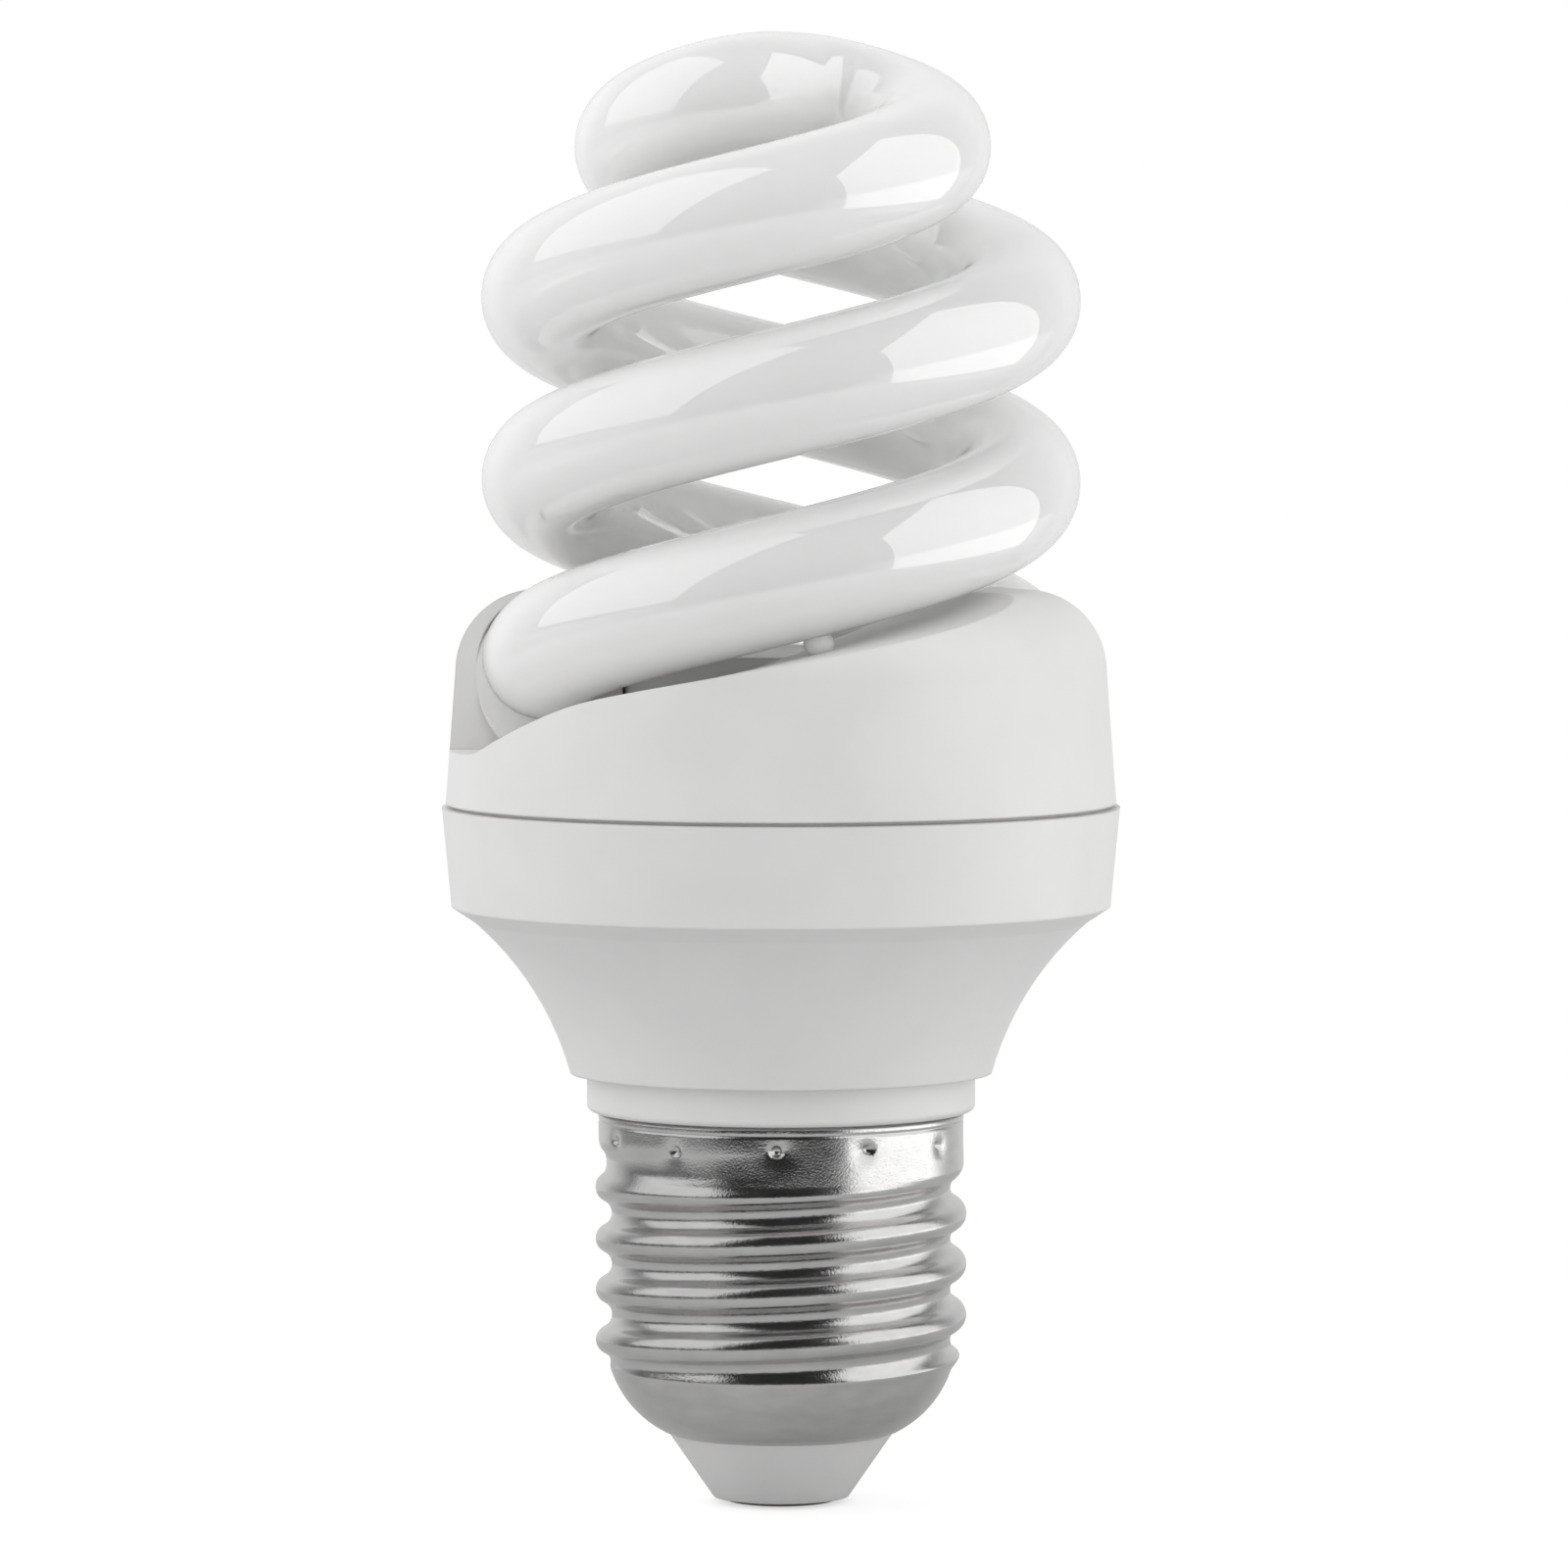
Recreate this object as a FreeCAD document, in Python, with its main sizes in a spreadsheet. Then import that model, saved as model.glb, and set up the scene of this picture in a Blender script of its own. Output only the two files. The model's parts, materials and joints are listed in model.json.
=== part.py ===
import FreeCAD, Part
import Sketcher
import math
import os
import re

# Compact spiral energy saving lamp with a screw cap.
# Frame: Z up along the lamp's axis, origin at the bottom of the centre contact, millimetres.
# A bearing is an angle about Z, counted from +X towards +Y. The front of the lamp is -Y.

Vector = FreeCAD.Vector
UP = Vector(0, 0, 1)
CENTRE = Vector(0, 0, 0)

doc = FreeCAD.newDocument("spiral_lamp")
sheet = doc.addObject("Spreadsheet::Sheet", "Sizes")

SIZES = [
    # whole lamp
    ("lamp_height", 104.3, "bottom of the contact to the top of the glass"),
    ("seam_height", 49.5, "parting line between the two housings"),
    ("plastic_wall", 1.5, "wall of both moulded housings"),
    ("seat_clearance", 0.1, "play between pieces that seat in each other"),
    # glass tube
    ("coil_inset", 7.1, "from the upper housing's side in to the glass tube's centre line"),
    ("tube_share", 0.539, "diameter of the glass tube over the coil's radius"),
    ("socket_rise", 10.21, "centre line of the glass above the seam where it enters a socket"),
    ("least_pitch", 12.0, "least fall of one arm in half a turn"),
    ("bridge_bearing", 48.6, "bearing in which an arm leaves the top"),
    ("bridge_sweep", 182.5, "turn in which an arm opens to the coil radius"),
    ("bridge_power", 0.75, "how straight the bridge crosses the axis"),
    ("bridge_ease", 30.0, "turn over which the fall of an arm sets in"),
    ("hidden_sweep", 36.4, "turn of the tube behind its socket"),
    # upper housing
    ("seam_step", 0.26, "how far the upper housing stands back at the seam"),
    ("seam_gap", 0.25, "open groove along the seam"),
    ("groove_depth", 0.6, "depth of that groove"),
    ("cover_draft", 0.7, "how far the upper housing narrows up to its shoulder"),
    ("shoulder_round", 5.8, "radius of the shoulder"),
    ("crown_height", 15.7, "top of the upper housing above the seam"),
    ("crown_dome", 0.3, "rise of the crown's middle over its edge"),
    ("ramp_gap", 1.2, "air between the glass and the ramp under it"),
    ("ramp_sweep", 162.0, "turn over which a ramp climbs"),
    ("hub_gap", 1.0, "from the coil's inside in to the well of the upper housing"),
    ("hub_depth", 4.7, "floor of the well below the crown"),
    ("hub_wall", 1.2, "wall of the well"),
    ("hub_play", 0.3, "how far the well is wider than the ramps' inner edge"),
    ("step_wall_turn", 5.0, "turn taken by the wall that a tube enters"),
    ("socket_clearance", 0.3, "play of the glass in its socket, filled by the seal"),
    ("landing_drop", 0.41, "flat landing in front of a socket, below the start of the ramp's slope"),
    ("landing_turn", 24.0, "turn of that landing"),
    ("landing_climb", 28.0, "turn over which the ramp then catches up with its slope"),
    ("landing_ease", 0.4, "how softly the landing and the steep part run into each other"),
    ("seal_lip", 1.75, "how far the seal's collar is wider than the glass"),
    ("seal_out", 2.4, "length of the collar in front of the socket"),
    ("seal_inset", 1.4, "middle of the collar, nearer to the lamp's axis than the glass"),
    ("seal_drop", 1.3, "middle of the collar below the middle of the glass"),
    ("seal_foot", 0.2, "how far the collar is let into the socket's wall"),
    ("seal_in", 2.2, "length of the seal inside the socket"),
    ("seal_flange", 0.5, "how far the seal stands proud of the glass there"),
    ("spigot_depth", 2.8, "spigot below the seam, down to the board"),
    ("spigot_wall", 1.5, "wall of the spigot"),
    ("snap_height", 1.7, "snap bead below the seam"),
    ("snap_reach", 0.4, "how far the snap bead stands out"),
    # lower housing
    ("lower_radius", 24.06, "lower housing at the seam"),
    ("band_draft", 0.66, "how far the band narrows down to its foot"),
    ("band_depth", 7.05, "height of the band"),
    ("shelf_width", 1.6, "bevel between the band and the flare"),
    ("shelf_fall", 1.05, "height of that bevel"),
    ("flare_curve", 22.3, "radius of the flare's hollow curve"),
    ("flare_overhang", 1.2, "how far the flare's foot stands over the collar"),
    ("collar_lip", 0.8, "how far the collar stands over the screw cap"),
    ("collar_gap", 0.15, "gap between the collar and the screw cap"),
    ("collar_height", 2.7, "height of the collar"),
    ("collar_edge", 0.35, "rounding of the collar's foot"),
    ("neck_foot_height", 17.0, "foot of the neck inside the screw cap"),
    ("neck_wall", 1.4, "wall of the neck"),
    ("notch_width", 1.6, "notch of the neck for the neutral wire"),
    ("notch_height", 4.0, "height of that notch"),
    ("rib_count", 6, "ribs that carry the board"),
    ("rib_turn", 3.0, "turn taken by a rib"),
    ("rib_reach", 2.2, "how far a rib stands in from the wall"),
    # screw cap
    ("sheet_thickness", 0.3, "rolled metal of the screw cap"),
    ("thread_crest", 13.2, "crest radius of the thread"),
    ("thread_root", 12.05, "root radius of the thread"),
    ("thread_pitch", 3.629, "seven turns to the inch"),
    ("thread_phase", 22.55, "height of a crest at the left of the lamp"),
    ("thread_top", 25.0, "end of the thread under the skirt"),
    ("thread_foot", 9.4, "end of the thread over the rounded foot"),
    ("thread_fade", 1.8, "height over which the thread fades out at its ends"),
    ("thread_blend", 0.1, "step from the thread to the skirt and to the foot"),
    ("skirt_radius", 13.0, "plain skirt of the cap"),
    ("skirt_top", 27.75, "upper rim of the cap"),
    ("foot_radius", 12.2, "cap where the rounded foot starts"),
    ("foot_curve", 7.5, "radius of the rounded foot"),
    ("rim_radius", 8.3, "hole of the cap for the insulator"),
    ("rim_height", 4.9, "lowest edge of the metal"),
    ("crimp_count", 12, "crimps that hold the cap on the neck"),
    ("crimp_height", 26.1, "height of the crimps"),
    ("crimp_ball", 0.9, "radius of the crimping tip"),
    ("crimp_depth", 0.4, "depth of a crimp"),
    ("crimp_bearing", 27.0, "bearing of the first crimp"),
    # insulator and contact
    ("contact_radius", 4.0, "disc of the centre contact"),
    ("contact_proud", 0.3, "contact below the insulator"),
    ("contact_edge", 0.2, "rounding of the contact's edge"),
    ("rivet_radius", 1.2, "stem of the contact"),
    ("rivet_head", 2.2, "head of the stem inside the cap"),
    ("rivet_thickness", 0.6, "thickness of that head"),
    ("insulator_foot_radius", 4.85, "insulator round the contact"),
    ("insulator_rim_radius", 8.05, "insulator where it meets the metal"),
    ("insulator_flange", 9.3, "flange of the insulator inside the cap"),
    ("flange_width", 1.9, "width of that flange"),
    ("cup_flare", 0.3, "how far the insulator's cup widens at its floor"),
    ("insulator_thickness", 2.0, "floor of the insulator's cup"),
    # circuit board
    ("board_play", 0.5, "gap between the board and the lower housing"),
    ("board_thickness", 1.6, "printed board"),
    ("wire_radius", 0.6, "insulated mains wire"),
    ("lead_radius", 0.3, "bare component lead"),
    ("lead_past", 1.0, "lead beyond the solder side of the board"),
    ("stand_off", 0.5, "gap between the board and a component"),
    # choke
    ("choke_x", -6.0, "middle of the choke"),
    ("choke_width", 13.0, "across the three limbs"),
    ("choke_share", 0.635, "height of the closed core over the room under the seam"),
    ("choke_thickness", 6.0, "thickness of the core"),
    ("choke_limb", 3.2, "width of the middle limb"),
    ("choke_yoke", 1.6, "outer limbs and yokes"),
    ("choke_gap", 0.2, "air gap between the two halves of the core"),
    ("bobbin_wall", 0.7, "wall of the bobbin"),
    ("bobbin_reach", 2.0, "how far the bobbin stands out of the core"),
    # bulk capacitor
    ("bulk_x", 5.6, "middle of the bulk capacitor"),
    ("bulk_radius", 3.85, "metal can"),
    ("bulk_length", 15.5, "metal can"),
    ("bulk_sleeve", 0.15, "printed sleeve round the can, left bare"),
    ("bulk_bung", 1.8, "rubber bung in the can's mouth"),
    ("bulk_spacing", 3.5, "between the two leads"),
    # ring core transformer
    ("ring_place", 0.6165, "middle of the ring core over the board's radius"),
    ("ring_radius", 4.5, "outside of the ring core"),
    ("ring_bore", 2.4, "bore of the ring core"),
    ("ring_share", 0.169, "height of the ring core over the room under the seam"),
    ("ring_wire", 0.35, "thickness of a winding's wire"),
    ("ring_coils", 3, "windings on the ring core"),
    ("coil_turns", 3, "turns of one winding"),
    ("turn_step", 14.0, "angle between two turns of one winding"),
    # small parts
    ("transistor_radius", 2.3, "round side of a transistor"),
    ("transistor_share", 0.243, "height of a transistor over the room under the seam"),
    ("transistor_flat", 1.2, "flat face in front of a transistor's middle"),
    ("transistor_lift", 1.5, "free length of a transistor's legs"),
    ("leg_spacing", 1.27, "between a transistor's legs"),
    ("diode_radius", 1.25, "rectifier diode"),
    ("diode_length", 4.6, "rectifier diode"),
    ("diode_drop", 1.7, "axis of a diode below the board"),
    ("film_length", 7.0, "film capacitor"),
    ("film_width", 2.6, "film capacitor"),
    ("film_share", 0.328, "height of a film capacitor over the room under the seam"),
    ("film_round", 0.6, "rounded edges of a film capacitor"),
    ("film_spacing", 5.0, "between its two leads"),
    ("drum_place", -0.6437, "middle of the filter choke over the board's radius"),
    ("drum_radius", 2.5, "flanges of the filter choke"),
    ("drum_core", 1.2, "core of the filter choke"),
    ("drum_share", 0.344, "height of the filter choke over the room under the seam"),
    ("drum_flange", 0.8, "flange of the filter choke"),
    ("fuse_radius", 1.4, "fusible resistor"),
    ("fuse_share", 0.3175, "length of the fusible resistor over the room under the seam"),
    ("resistor_radius", 0.85, "small resistor"),
    ("resistor_length", 3.2, "small resistor"),
    ("resistor_drop", 1.2, "axis of a small resistor below the board"),
    ("axial_span", 6.4, "between the two leads of a lying part"),
    ("thermistor_share", 0.132, "radius of the start thermistor over the room under the seam"),
    ("thermistor_thickness", 2.0, "disc of the start thermistor"),
    # pins and wires
    ("wrap_pin_side", 0.7, "square wrap pin"),
    ("wrap_pin_height", 4.0, "wrap pin over the board"),
    ("pin_inset", 4.46, "from the board's edge in to a wrap pin"),
    ("pin_bearing", 112.0, "bearing of the first wrap pin"),
    ("pin_turn", 8.0, "angle between the two pins of one electrode"),
    ("electrode_radius", 0.25, "lead of a tube's electrode"),
    ("electrode_spacing", 2.2, "between the two leads of one electrode"),
    ("electrode_straight", 2.5, "straight run of an electrode's lead out of the glass"),
    ("electrode_over", 3.0, "how far that lead rises over its pin"),
    ("electrode_bend", 0.8, "bends of that lead"),
    ("live_rise", 14.0, "height at which the live wire turns aside"),
    ("live_entry", 25.0, "height at which it turns up to the board"),
    ("live_hole", 8.4, "lamp's axis to the live wire's hole in the board"),
    ("live_bend", 2.5, "bends of the live wire"),
    ("neutral_entry", 27.0, "height at which the neutral wire turns up to the board"),
    ("neutral_hole", 7.7, "lamp's axis to the neutral wire's hole in the board"),
    ("neutral_slack", 8.9, "lamp's axis to that wire's loop under the neck"),
    ("neutral_loop", 2.2, "how far the loop hangs under the neck"),
    ("neutral_tuck", 3.0, "bare end pinched between the neck and the screw cap"),
    ("neutral_bend", 1.0, "bends of the neutral wire"),
    ("glue_bearing", -81.0, "bearing of the dab of silicone under the front strand"),
]

# Sizes that follow from the ones above, with the housings, the cap and the glass kept together
DERIVED = [
    ("upper_radius", "lower_radius - seam_step", "upper housing at the seam"),
    ("shoulder_radius", "upper_radius - cover_draft", "upper housing where the shoulder starts"),
    ("band_radius", "lower_radius - band_draft", "lower housing at the foot of the band"),
    ("collar_radius", "skirt_radius + collar_lip", "collar above the screw cap"),
    ("collar_foot", "skirt_top + collar_gap", "foot of the collar"),
    ("flare_foot", "collar_foot + collar_height", "foot of the flare"),
    ("flare_foot_radius", "collar_radius + flare_overhang", "lower housing at the foot of the flare"),
    ("flare_top", "seam_height - band_depth - shelf_fall", "top of the flare"),
    ("flare_top_radius", "band_radius - shelf_width", "lower housing at the top of the flare"),
    ("flare_run", "flare_top_radius - flare_foot_radius", "width of the flare"),
    ("flare_rise", "flare_top - flare_foot", "height of the flare"),
    ("flare_chord", "sqrt(flare_run ^ 2 + flare_rise ^ 2)", "straight line from the flare's foot to its top"),
    ("flare_drop", "sqrt(flare_curve ^ 2 - flare_chord ^ 2 / 4)", "that line to the middle of the curve"),
    ("flare_x", "flare_foot_radius + flare_run / 2 + flare_rise * flare_drop / flare_chord", "middle of the curve"),
    ("flare_z", "flare_foot + flare_rise / 2 - flare_run * flare_drop / flare_chord", "middle of the curve"),
    ("head_room", "seam_height - flare_foot", "from the seam down to the flare's foot"),
    ("choke_height", "head_room * choke_share", "height of the closed core"),
    ("ring_height", "head_room * ring_share", "height of the ring core"),
    ("transistor_height", "head_room * transistor_share", "transistor"),
    ("film_height", "head_room * film_share", "film capacitor"),
    ("drum_height", "head_room * drum_share", "filter choke"),
    ("fuse_length", "head_room * fuse_share", "fusible resistor"),
    ("thermistor_radius", "head_room * thermistor_share", "disc of the start thermistor"),
    ("board_radius", "lower_radius - plastic_wall - board_play", "printed board"),
    ("ring_y", "board_radius * ring_place", "middle of the ring core"),
    ("drum_x", "board_radius * drum_place", "middle of the filter choke"),
    ("wrap_pin_radius", "board_radius - pin_inset", "lamp's axis to a wrap pin"),
    ("coil_radius", "upper_radius - coil_inset", "lamp's axis to the glass tube's centre line"),
    ("tube_diameter", "coil_radius * tube_share", "outside of the glass tube"),
    ("hub_radius", "coil_radius - tube_diameter / 2 - hub_gap", "well in the middle of the upper housing"),
    ("hub_height", "crown_height - hub_depth", "floor of the well above the seam"),
    ("glass_fall", "lamp_height - tube_diameter / 2 - seam_height - socket_rise", "fall of an arm to its socket"),
    ("half_turns", "floor((glass_fall * 180 / least_pitch + bridge_ease - bridge_bearing) / 180)",
     "whole half turns of an arm"),
    ("socket_turn", "bridge_bearing + 180 * half_turns", "turn at which an arm enters its socket"),
    ("strand_pitch", "180 * glass_fall / (sqrt(socket_turn ^ 2 + bridge_ease ^ 2) - bridge_ease)",
     "fall of one arm in half a turn"),
]


def fill_sheet():
    """Writes every dimension to the sheet, with its name as the alias; a derived one is a formula."""
    derived = [(name, "=" + formula, note) for name, formula, note in DERIVED]
    for row, (name, content, note) in enumerate(SIZES + derived, start=1):
        sheet.set("A%d" % row, note)
        sheet.set("B%d" % row, str(content))
        sheet.setAlias("B%d" % row, name)
    doc.recompute()


fill_sheet()


# Expressions, sketches and small helpers

NAMES = {row[0] for row in SIZES + DERIVED}


def cells(text):
    """The expression with each size's name written as its cell in the sheet."""
    return re.sub(r"\b[a-z]\w*\b", lambda word: "Sizes." + word[0] if word[0] in NAMES else word[0], str(text))


def value(text):
    """What an expression comes to with the sheet's present numbers."""
    return float(sheet.evalExpression(cells(text)))


def bind(thing, **expressions):
    """Binds properties to the sheet; a double underscore stands for a dot."""
    for name, text in expressions.items():
        thing.setExpression(name.replace("__", "."), cells(text))
    return thing


def new_body(label):
    body = doc.addObject("PartDesign::Body", label)
    body.Label = label
    return body


def new_sketch(body, name, role, lift="0"):
    """A sketch on one of the body's own origin planes, lifted along the plane's normal."""
    sketch = body.newObject("Sketcher::SketchObject", name)
    plane = [feature for feature in body.Origin.OriginFeatures if feature.Role == role]
    sketch.AttachmentSupport = [(plane[0], "")]
    sketch.MapMode = "FlatFace"
    sketch.setExpression("AttachmentOffset.Base.z", cells(lift))
    return sketch


def arc_between(start, end, radius):
    """Short arc whose centre is left of travel, or right of it when the radius is negative."""
    chord = end - start
    middle = (start + end) * 0.5
    left = Vector(-chord.y, chord.x, 0).normalize()
    drop = math.sqrt(radius * radius - chord.Length ** 2 / 4)
    centre = middle + left * math.copysign(drop, radius)
    first, last = (start, end) if radius > 0 else (end, start)
    angles = [math.atan2(point.y - centre.y, point.x - centre.x) for point in (first, last)]
    return Part.ArcOfCircle(Part.Circle(centre, UP, abs(radius)), angles[0], angles[1])


def draw_outline(sketch, corners):
    """Closed outline through corners of two expressions; a third bends the side that leaves a corner."""
    points = [Vector(value(corner[0]), value(corner[1]), 0) for corner in corners]
    sides = []
    for index, corner in enumerate(corners):
        start, end = points[index], points[(index + 1) % len(points)]
        if len(corner) == 3:
            radius = value(corner[2])
            side = sketch.addGeometry(arc_between(start, end, radius), False)
            limit = sketch.addConstraint(Sketcher.Constraint("Radius", side, abs(radius)))
            sketch.renameConstraint(limit, "round_%d" % index)
            sketch.setExpression("Constraints.round_%d" % index, "abs(%s)" % cells(corner[2]))
            sides.append((side, 1, 2) if radius > 0 else (side, 2, 1))
        else:
            side = sketch.addGeometry(Part.LineSegment(start, end), False)
            sides.append((side, 1, 2))
    for index, (side, first, last) in enumerate(sides):
        before = sides[index - 1]
        sketch.addConstraint(Sketcher.Constraint("Coincident", before[0], before[2], side, first))
    for index, corner in enumerate(corners):
        side, first, last = sides[index]
        pin(sketch, side, first, "DistanceX", "across_%d" % index, corner[0])
        pin(sketch, side, first, "DistanceY", "along_%d" % index, corner[1])


def pin(sketch, side, end, kind, name, text):
    """Holds one end of a side at a distance from the sketch's origin."""
    if str(text) == "0":
        axis = -2 if kind == "DistanceX" else -1
        sketch.addConstraint(Sketcher.Constraint("PointOnObject", side, end, axis))
        return
    limit = sketch.addConstraint(Sketcher.Constraint(kind, -1, 1, side, end, value(text)))
    sketch.renameConstraint(limit, name)
    sketch.setExpression("Constraints." + name, cells(text))


def draw_circle(sketch, radius):
    circle = sketch.addGeometry(Part.Circle(CENTRE, UP, value(radius)), False)
    sketch.addConstraint(Sketcher.Constraint("Coincident", circle, 3, -1, 1))
    limit = sketch.addConstraint(Sketcher.Constraint("Radius", circle, value(radius)))
    sketch.renameConstraint(limit, "radius")
    sketch.setExpression("Constraints.radius", cells(radius))


def revolve(body, name, corners, angle=360.0):
    """Turns an outline of radius and height about the lamp's axis."""
    sketch = new_sketch(body, name + "_outline", "XZ_Plane")
    draw_outline(sketch, corners)
    feature = body.newObject("PartDesign::Revolution", name)
    feature.Profile = sketch
    feature.ReferenceAxis = (sketch, ["V_Axis"])
    feature.Angle = angle
    feature.Midplane = angle < 360
    doc.recompute()
    return feature


def repeat(body, feature, count):
    """Copies a feature round the lamp's axis."""
    axis = [item for item in body.Origin.OriginFeatures if item.Role == "Z_Axis"]
    pattern = body.newObject("PartDesign::PolarPattern", feature.Name + "_pattern")
    pattern.Originals = [feature]
    pattern.Axis = (axis[0], [""])
    pattern.Angle = 360
    pattern.setExpression("Occurrences", cells(count))
    body.Tip = pattern
    doc.recompute()
    return pattern


def turned_body(label, corners):
    body = new_body(label)
    revolve(body, label + "_turn", corners)
    return body


def combine(kind, label, members):
    """A boolean or a compound of several objects."""
    thing = doc.addObject("Part::" + kind, label)
    thing.Label = label
    if kind == "Compound":
        thing.Links = members
    elif kind in ("MultiFuse", "MultiCommon"):
        thing.Shapes = members
        thing.Refine = True
    else:
        thing.Base, thing.Tool = members
        thing.Refine = True
    return thing


def plain(label, shape):
    """A shape that Part's own functions make from the sheet's numbers."""
    thing = doc.addObject("Part::Feature", label)
    thing.Label = label
    thing.Shape = shape
    return thing


def half_turn(shape):
    """The shape turned by half a turn about the lamp's axis."""
    copy = shape.copy()
    copy.rotate(CENTRE, UP, 180)
    return copy


# Glass tube: two arms that wind down from a bridge over the axis

def arm_point(sweep):
    """Centre line of the glass at a turn from the top; a negative turn lies on the other arm."""
    turn = abs(sweep)
    opening = math.sin(math.radians(90 * min(turn / value("bridge_sweep"), 1)))
    radius = math.copysign(value("coil_radius") * opening ** value("bridge_power"), sweep)
    ease = value("bridge_ease")
    fall = value("strand_pitch") / 180 * (math.hypot(turn, ease) - ease)
    bearing = math.radians(value("bridge_bearing") - turn)
    top = value("lamp_height - tube_diameter / 2")
    return Vector(radius * math.cos(bearing), radius * math.sin(bearing), top - fall)


def arm_heading(sweep):
    """Direction of the glass towards a larger turn."""
    step = 0.05
    return (arm_point(sweep + step) - arm_point(sweep - step)).normalize()


def leaving_arc(start, heading, end):
    """The arc that leaves a point along a heading and ends at another point."""
    chord = end - start
    inward = heading.cross(chord).cross(heading).normalize()
    radius = chord.dot(chord) / (2 * inward.dot(chord))
    centre = start + inward * radius
    middle = (start - centre) + (end - centre)
    return Part.Arc(start, centre + middle.normalize() * radius, end).toShape()


def arc_pair(first, last):
    """Two arcs that share a tangent and join two places of the centre line with its headings."""
    start, end = arm_point(first), arm_point(last)
    out, back = arm_heading(first), arm_heading(last)
    chord = end - start
    both = out + back
    square = both.dot(both) - 4
    slope = -2 * chord.dot(both)
    reach = (-slope - math.sqrt(slope * slope - 4 * square * chord.dot(chord))) / (2 * square)
    joint = (start + out * reach + end - back * reach) * 0.5
    return [leaving_arc(start, out, joint), leaving_arc(end, back * -1, joint)]


def glass_pipe(sweeps, radius, bore=0.0):
    """A round rod, or a tube with a bore, along the centre line of the glass."""
    edges = []
    for first, last in zip(sweeps, sweeps[1:]):
        edges += arc_pair(first, last)
    start, heading = arm_point(sweeps[0]), arm_heading(sweeps[0])
    rings = [Part.Wire([Part.makeCircle(radius, start, heading)])]
    if bore > 0:
        rings.append(Part.Wire([Part.makeCircle(bore, start, heading)]))
    path = Part.Wire(Part.__sortEdges__(edges))
    return path.makePipe(Part.Face(rings, "Part::FaceMakerBullseye"))


def left_arm(shape):
    """A shape on the first arm, carried to the arm that enters the left socket."""
    return shape if value("half_turns") % 2 else half_turn(shape)


def spiral_tube():
    bends = [18.0, 45.0]
    last = value("socket_turn + hidden_sweep")
    pairs = int(value("4 * half_turns")) - 1
    step = (last - bends[-1]) / pairs
    arm = bends + [bends[-1] + step * (index + 1) for index in range(pairs)]
    radius = value("tube_diameter / 2")
    shape = glass_pipe([-sweep for sweep in reversed(arm)] + arm, radius)
    end = Part.makeSphere(radius, arm_point(last), arm_heading(last), 0, 90, 360)
    return plain("spiral_tube", shape.fuse([end, half_turn(end)]).removeSplitter())


# Upper housing: a domed cover with two ramps that run along under the glass

def ramp_rise(turn):
    """Height of a ramp over the start of its slope: a flat landing, a steep part, then the slope."""
    slope = value("strand_pitch") * turn / 180
    low = -value("landing_drop")
    flat, steep = value("landing_turn"), value("landing_climb")
    ease = value("landing_ease")
    over = value("strand_pitch") * (flat + steep) / 180 - low
    climb = over * (turn - flat) / steep
    raised = low + (climb + math.hypot(climb, ease)) / 2
    return (raised + slope - math.hypot(raised - slope, ease)) / 2


def ramp_space(label, lower, inward, lead):
    """What lies over both ramps: an upright section carried round the axis over each ramp."""
    inner, outer = value("hub_radius") - inward, value("upper_radius + plastic_wall")
    foot = value("seam_height + socket_rise - tube_diameter / 2 - ramp_gap") - lower
    count = 42
    step = (value("ramp_sweep") + 2 * lead) / count
    path = []
    for index in range(count + 1):
        turn = index * step - lead
        bearing = math.radians(180 + turn)
        path.append(Vector(outer * math.cos(bearing), outer * math.sin(bearing), foot + ramp_rise(turn)))
    curve = Part.BSplineCurve()
    curve.interpolate(path)
    start = path[0]
    across = Vector(-start.x, -start.y, 0).normalize() * (outer - inner)
    rise = UP * value("crown_height")
    section = Part.makePolygon([start, start + across, start + across + rise, start + rise, start])
    sweep = Part.BRepOffsetAPI.MakePipeShell(Part.Wire([curve.toShape()]))
    sweep.setBiNormalMode(UP)
    sweep.add(section)
    sweep.build()
    sweep.makeSolid()
    space = sweep.shape()
    return plain(label, Part.Compound([space, half_turn(space)]))


def cover_outline(wall):
    """Half section of the domed cover, a wall's thickness further in."""
    edge = "seam_height + crown_height - crown_dome"
    groove = [
        ("upper_radius - groove_depth", "seam_height"),
        ("upper_radius - groove_depth", "seam_height + seam_gap"),
        ("upper_radius", "seam_height + seam_gap"),
    ]
    return [("0", "seam_height")] + (groove if wall == "0" else [("upper_radius - " + wall, "seam_height")]) + [
        ("shoulder_radius - %s" % wall, edge + " - shoulder_round", "shoulder_round - %s" % wall),
        ("shoulder_radius - shoulder_round", edge + " - %s" % wall),
        ("0", "seam_height + crown_height - %s" % wall),
    ]


def well(label, wall):
    """The round well in the middle of the cover, a wall's thickness larger."""
    thing = doc.addObject("Part::Cylinder", label)
    bind(thing, Radius="hub_radius + hub_play + %s" % wall, Height="crown_height")
    return thing


def spigot():
    """Ring inside the seam that presses on the board, with four snap beads."""
    body = new_body("cover_spigot")
    outer = "lower_radius - plastic_wall - seat_clearance"
    inner = outer + " - spigot_wall"
    revolve(body, "spigot_ring", [
        (inner, "seam_height - spigot_depth"),
        (outer, "seam_height - spigot_depth"),
        (outer, "seam_height"),
        ("upper_radius - plastic_wall / 2", "seam_height"),
        ("upper_radius - plastic_wall / 2", "seam_height + plastic_wall"),
        (outer, "seam_height + 2 * plastic_wall"),
        (inner, "seam_height + plastic_wall"),
    ])
    bead = revolve(body, "snap_bead", [
        (outer + " - snap_reach", "seam_height - snap_height - 1.5 * snap_reach"),
        (outer + " + snap_reach", "seam_height - snap_height"),
        (outer + " - snap_reach", "seam_height - snap_height + 1.5 * snap_reach"),
    ], 24.0)
    repeat(body, bead, "4")
    return body


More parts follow.
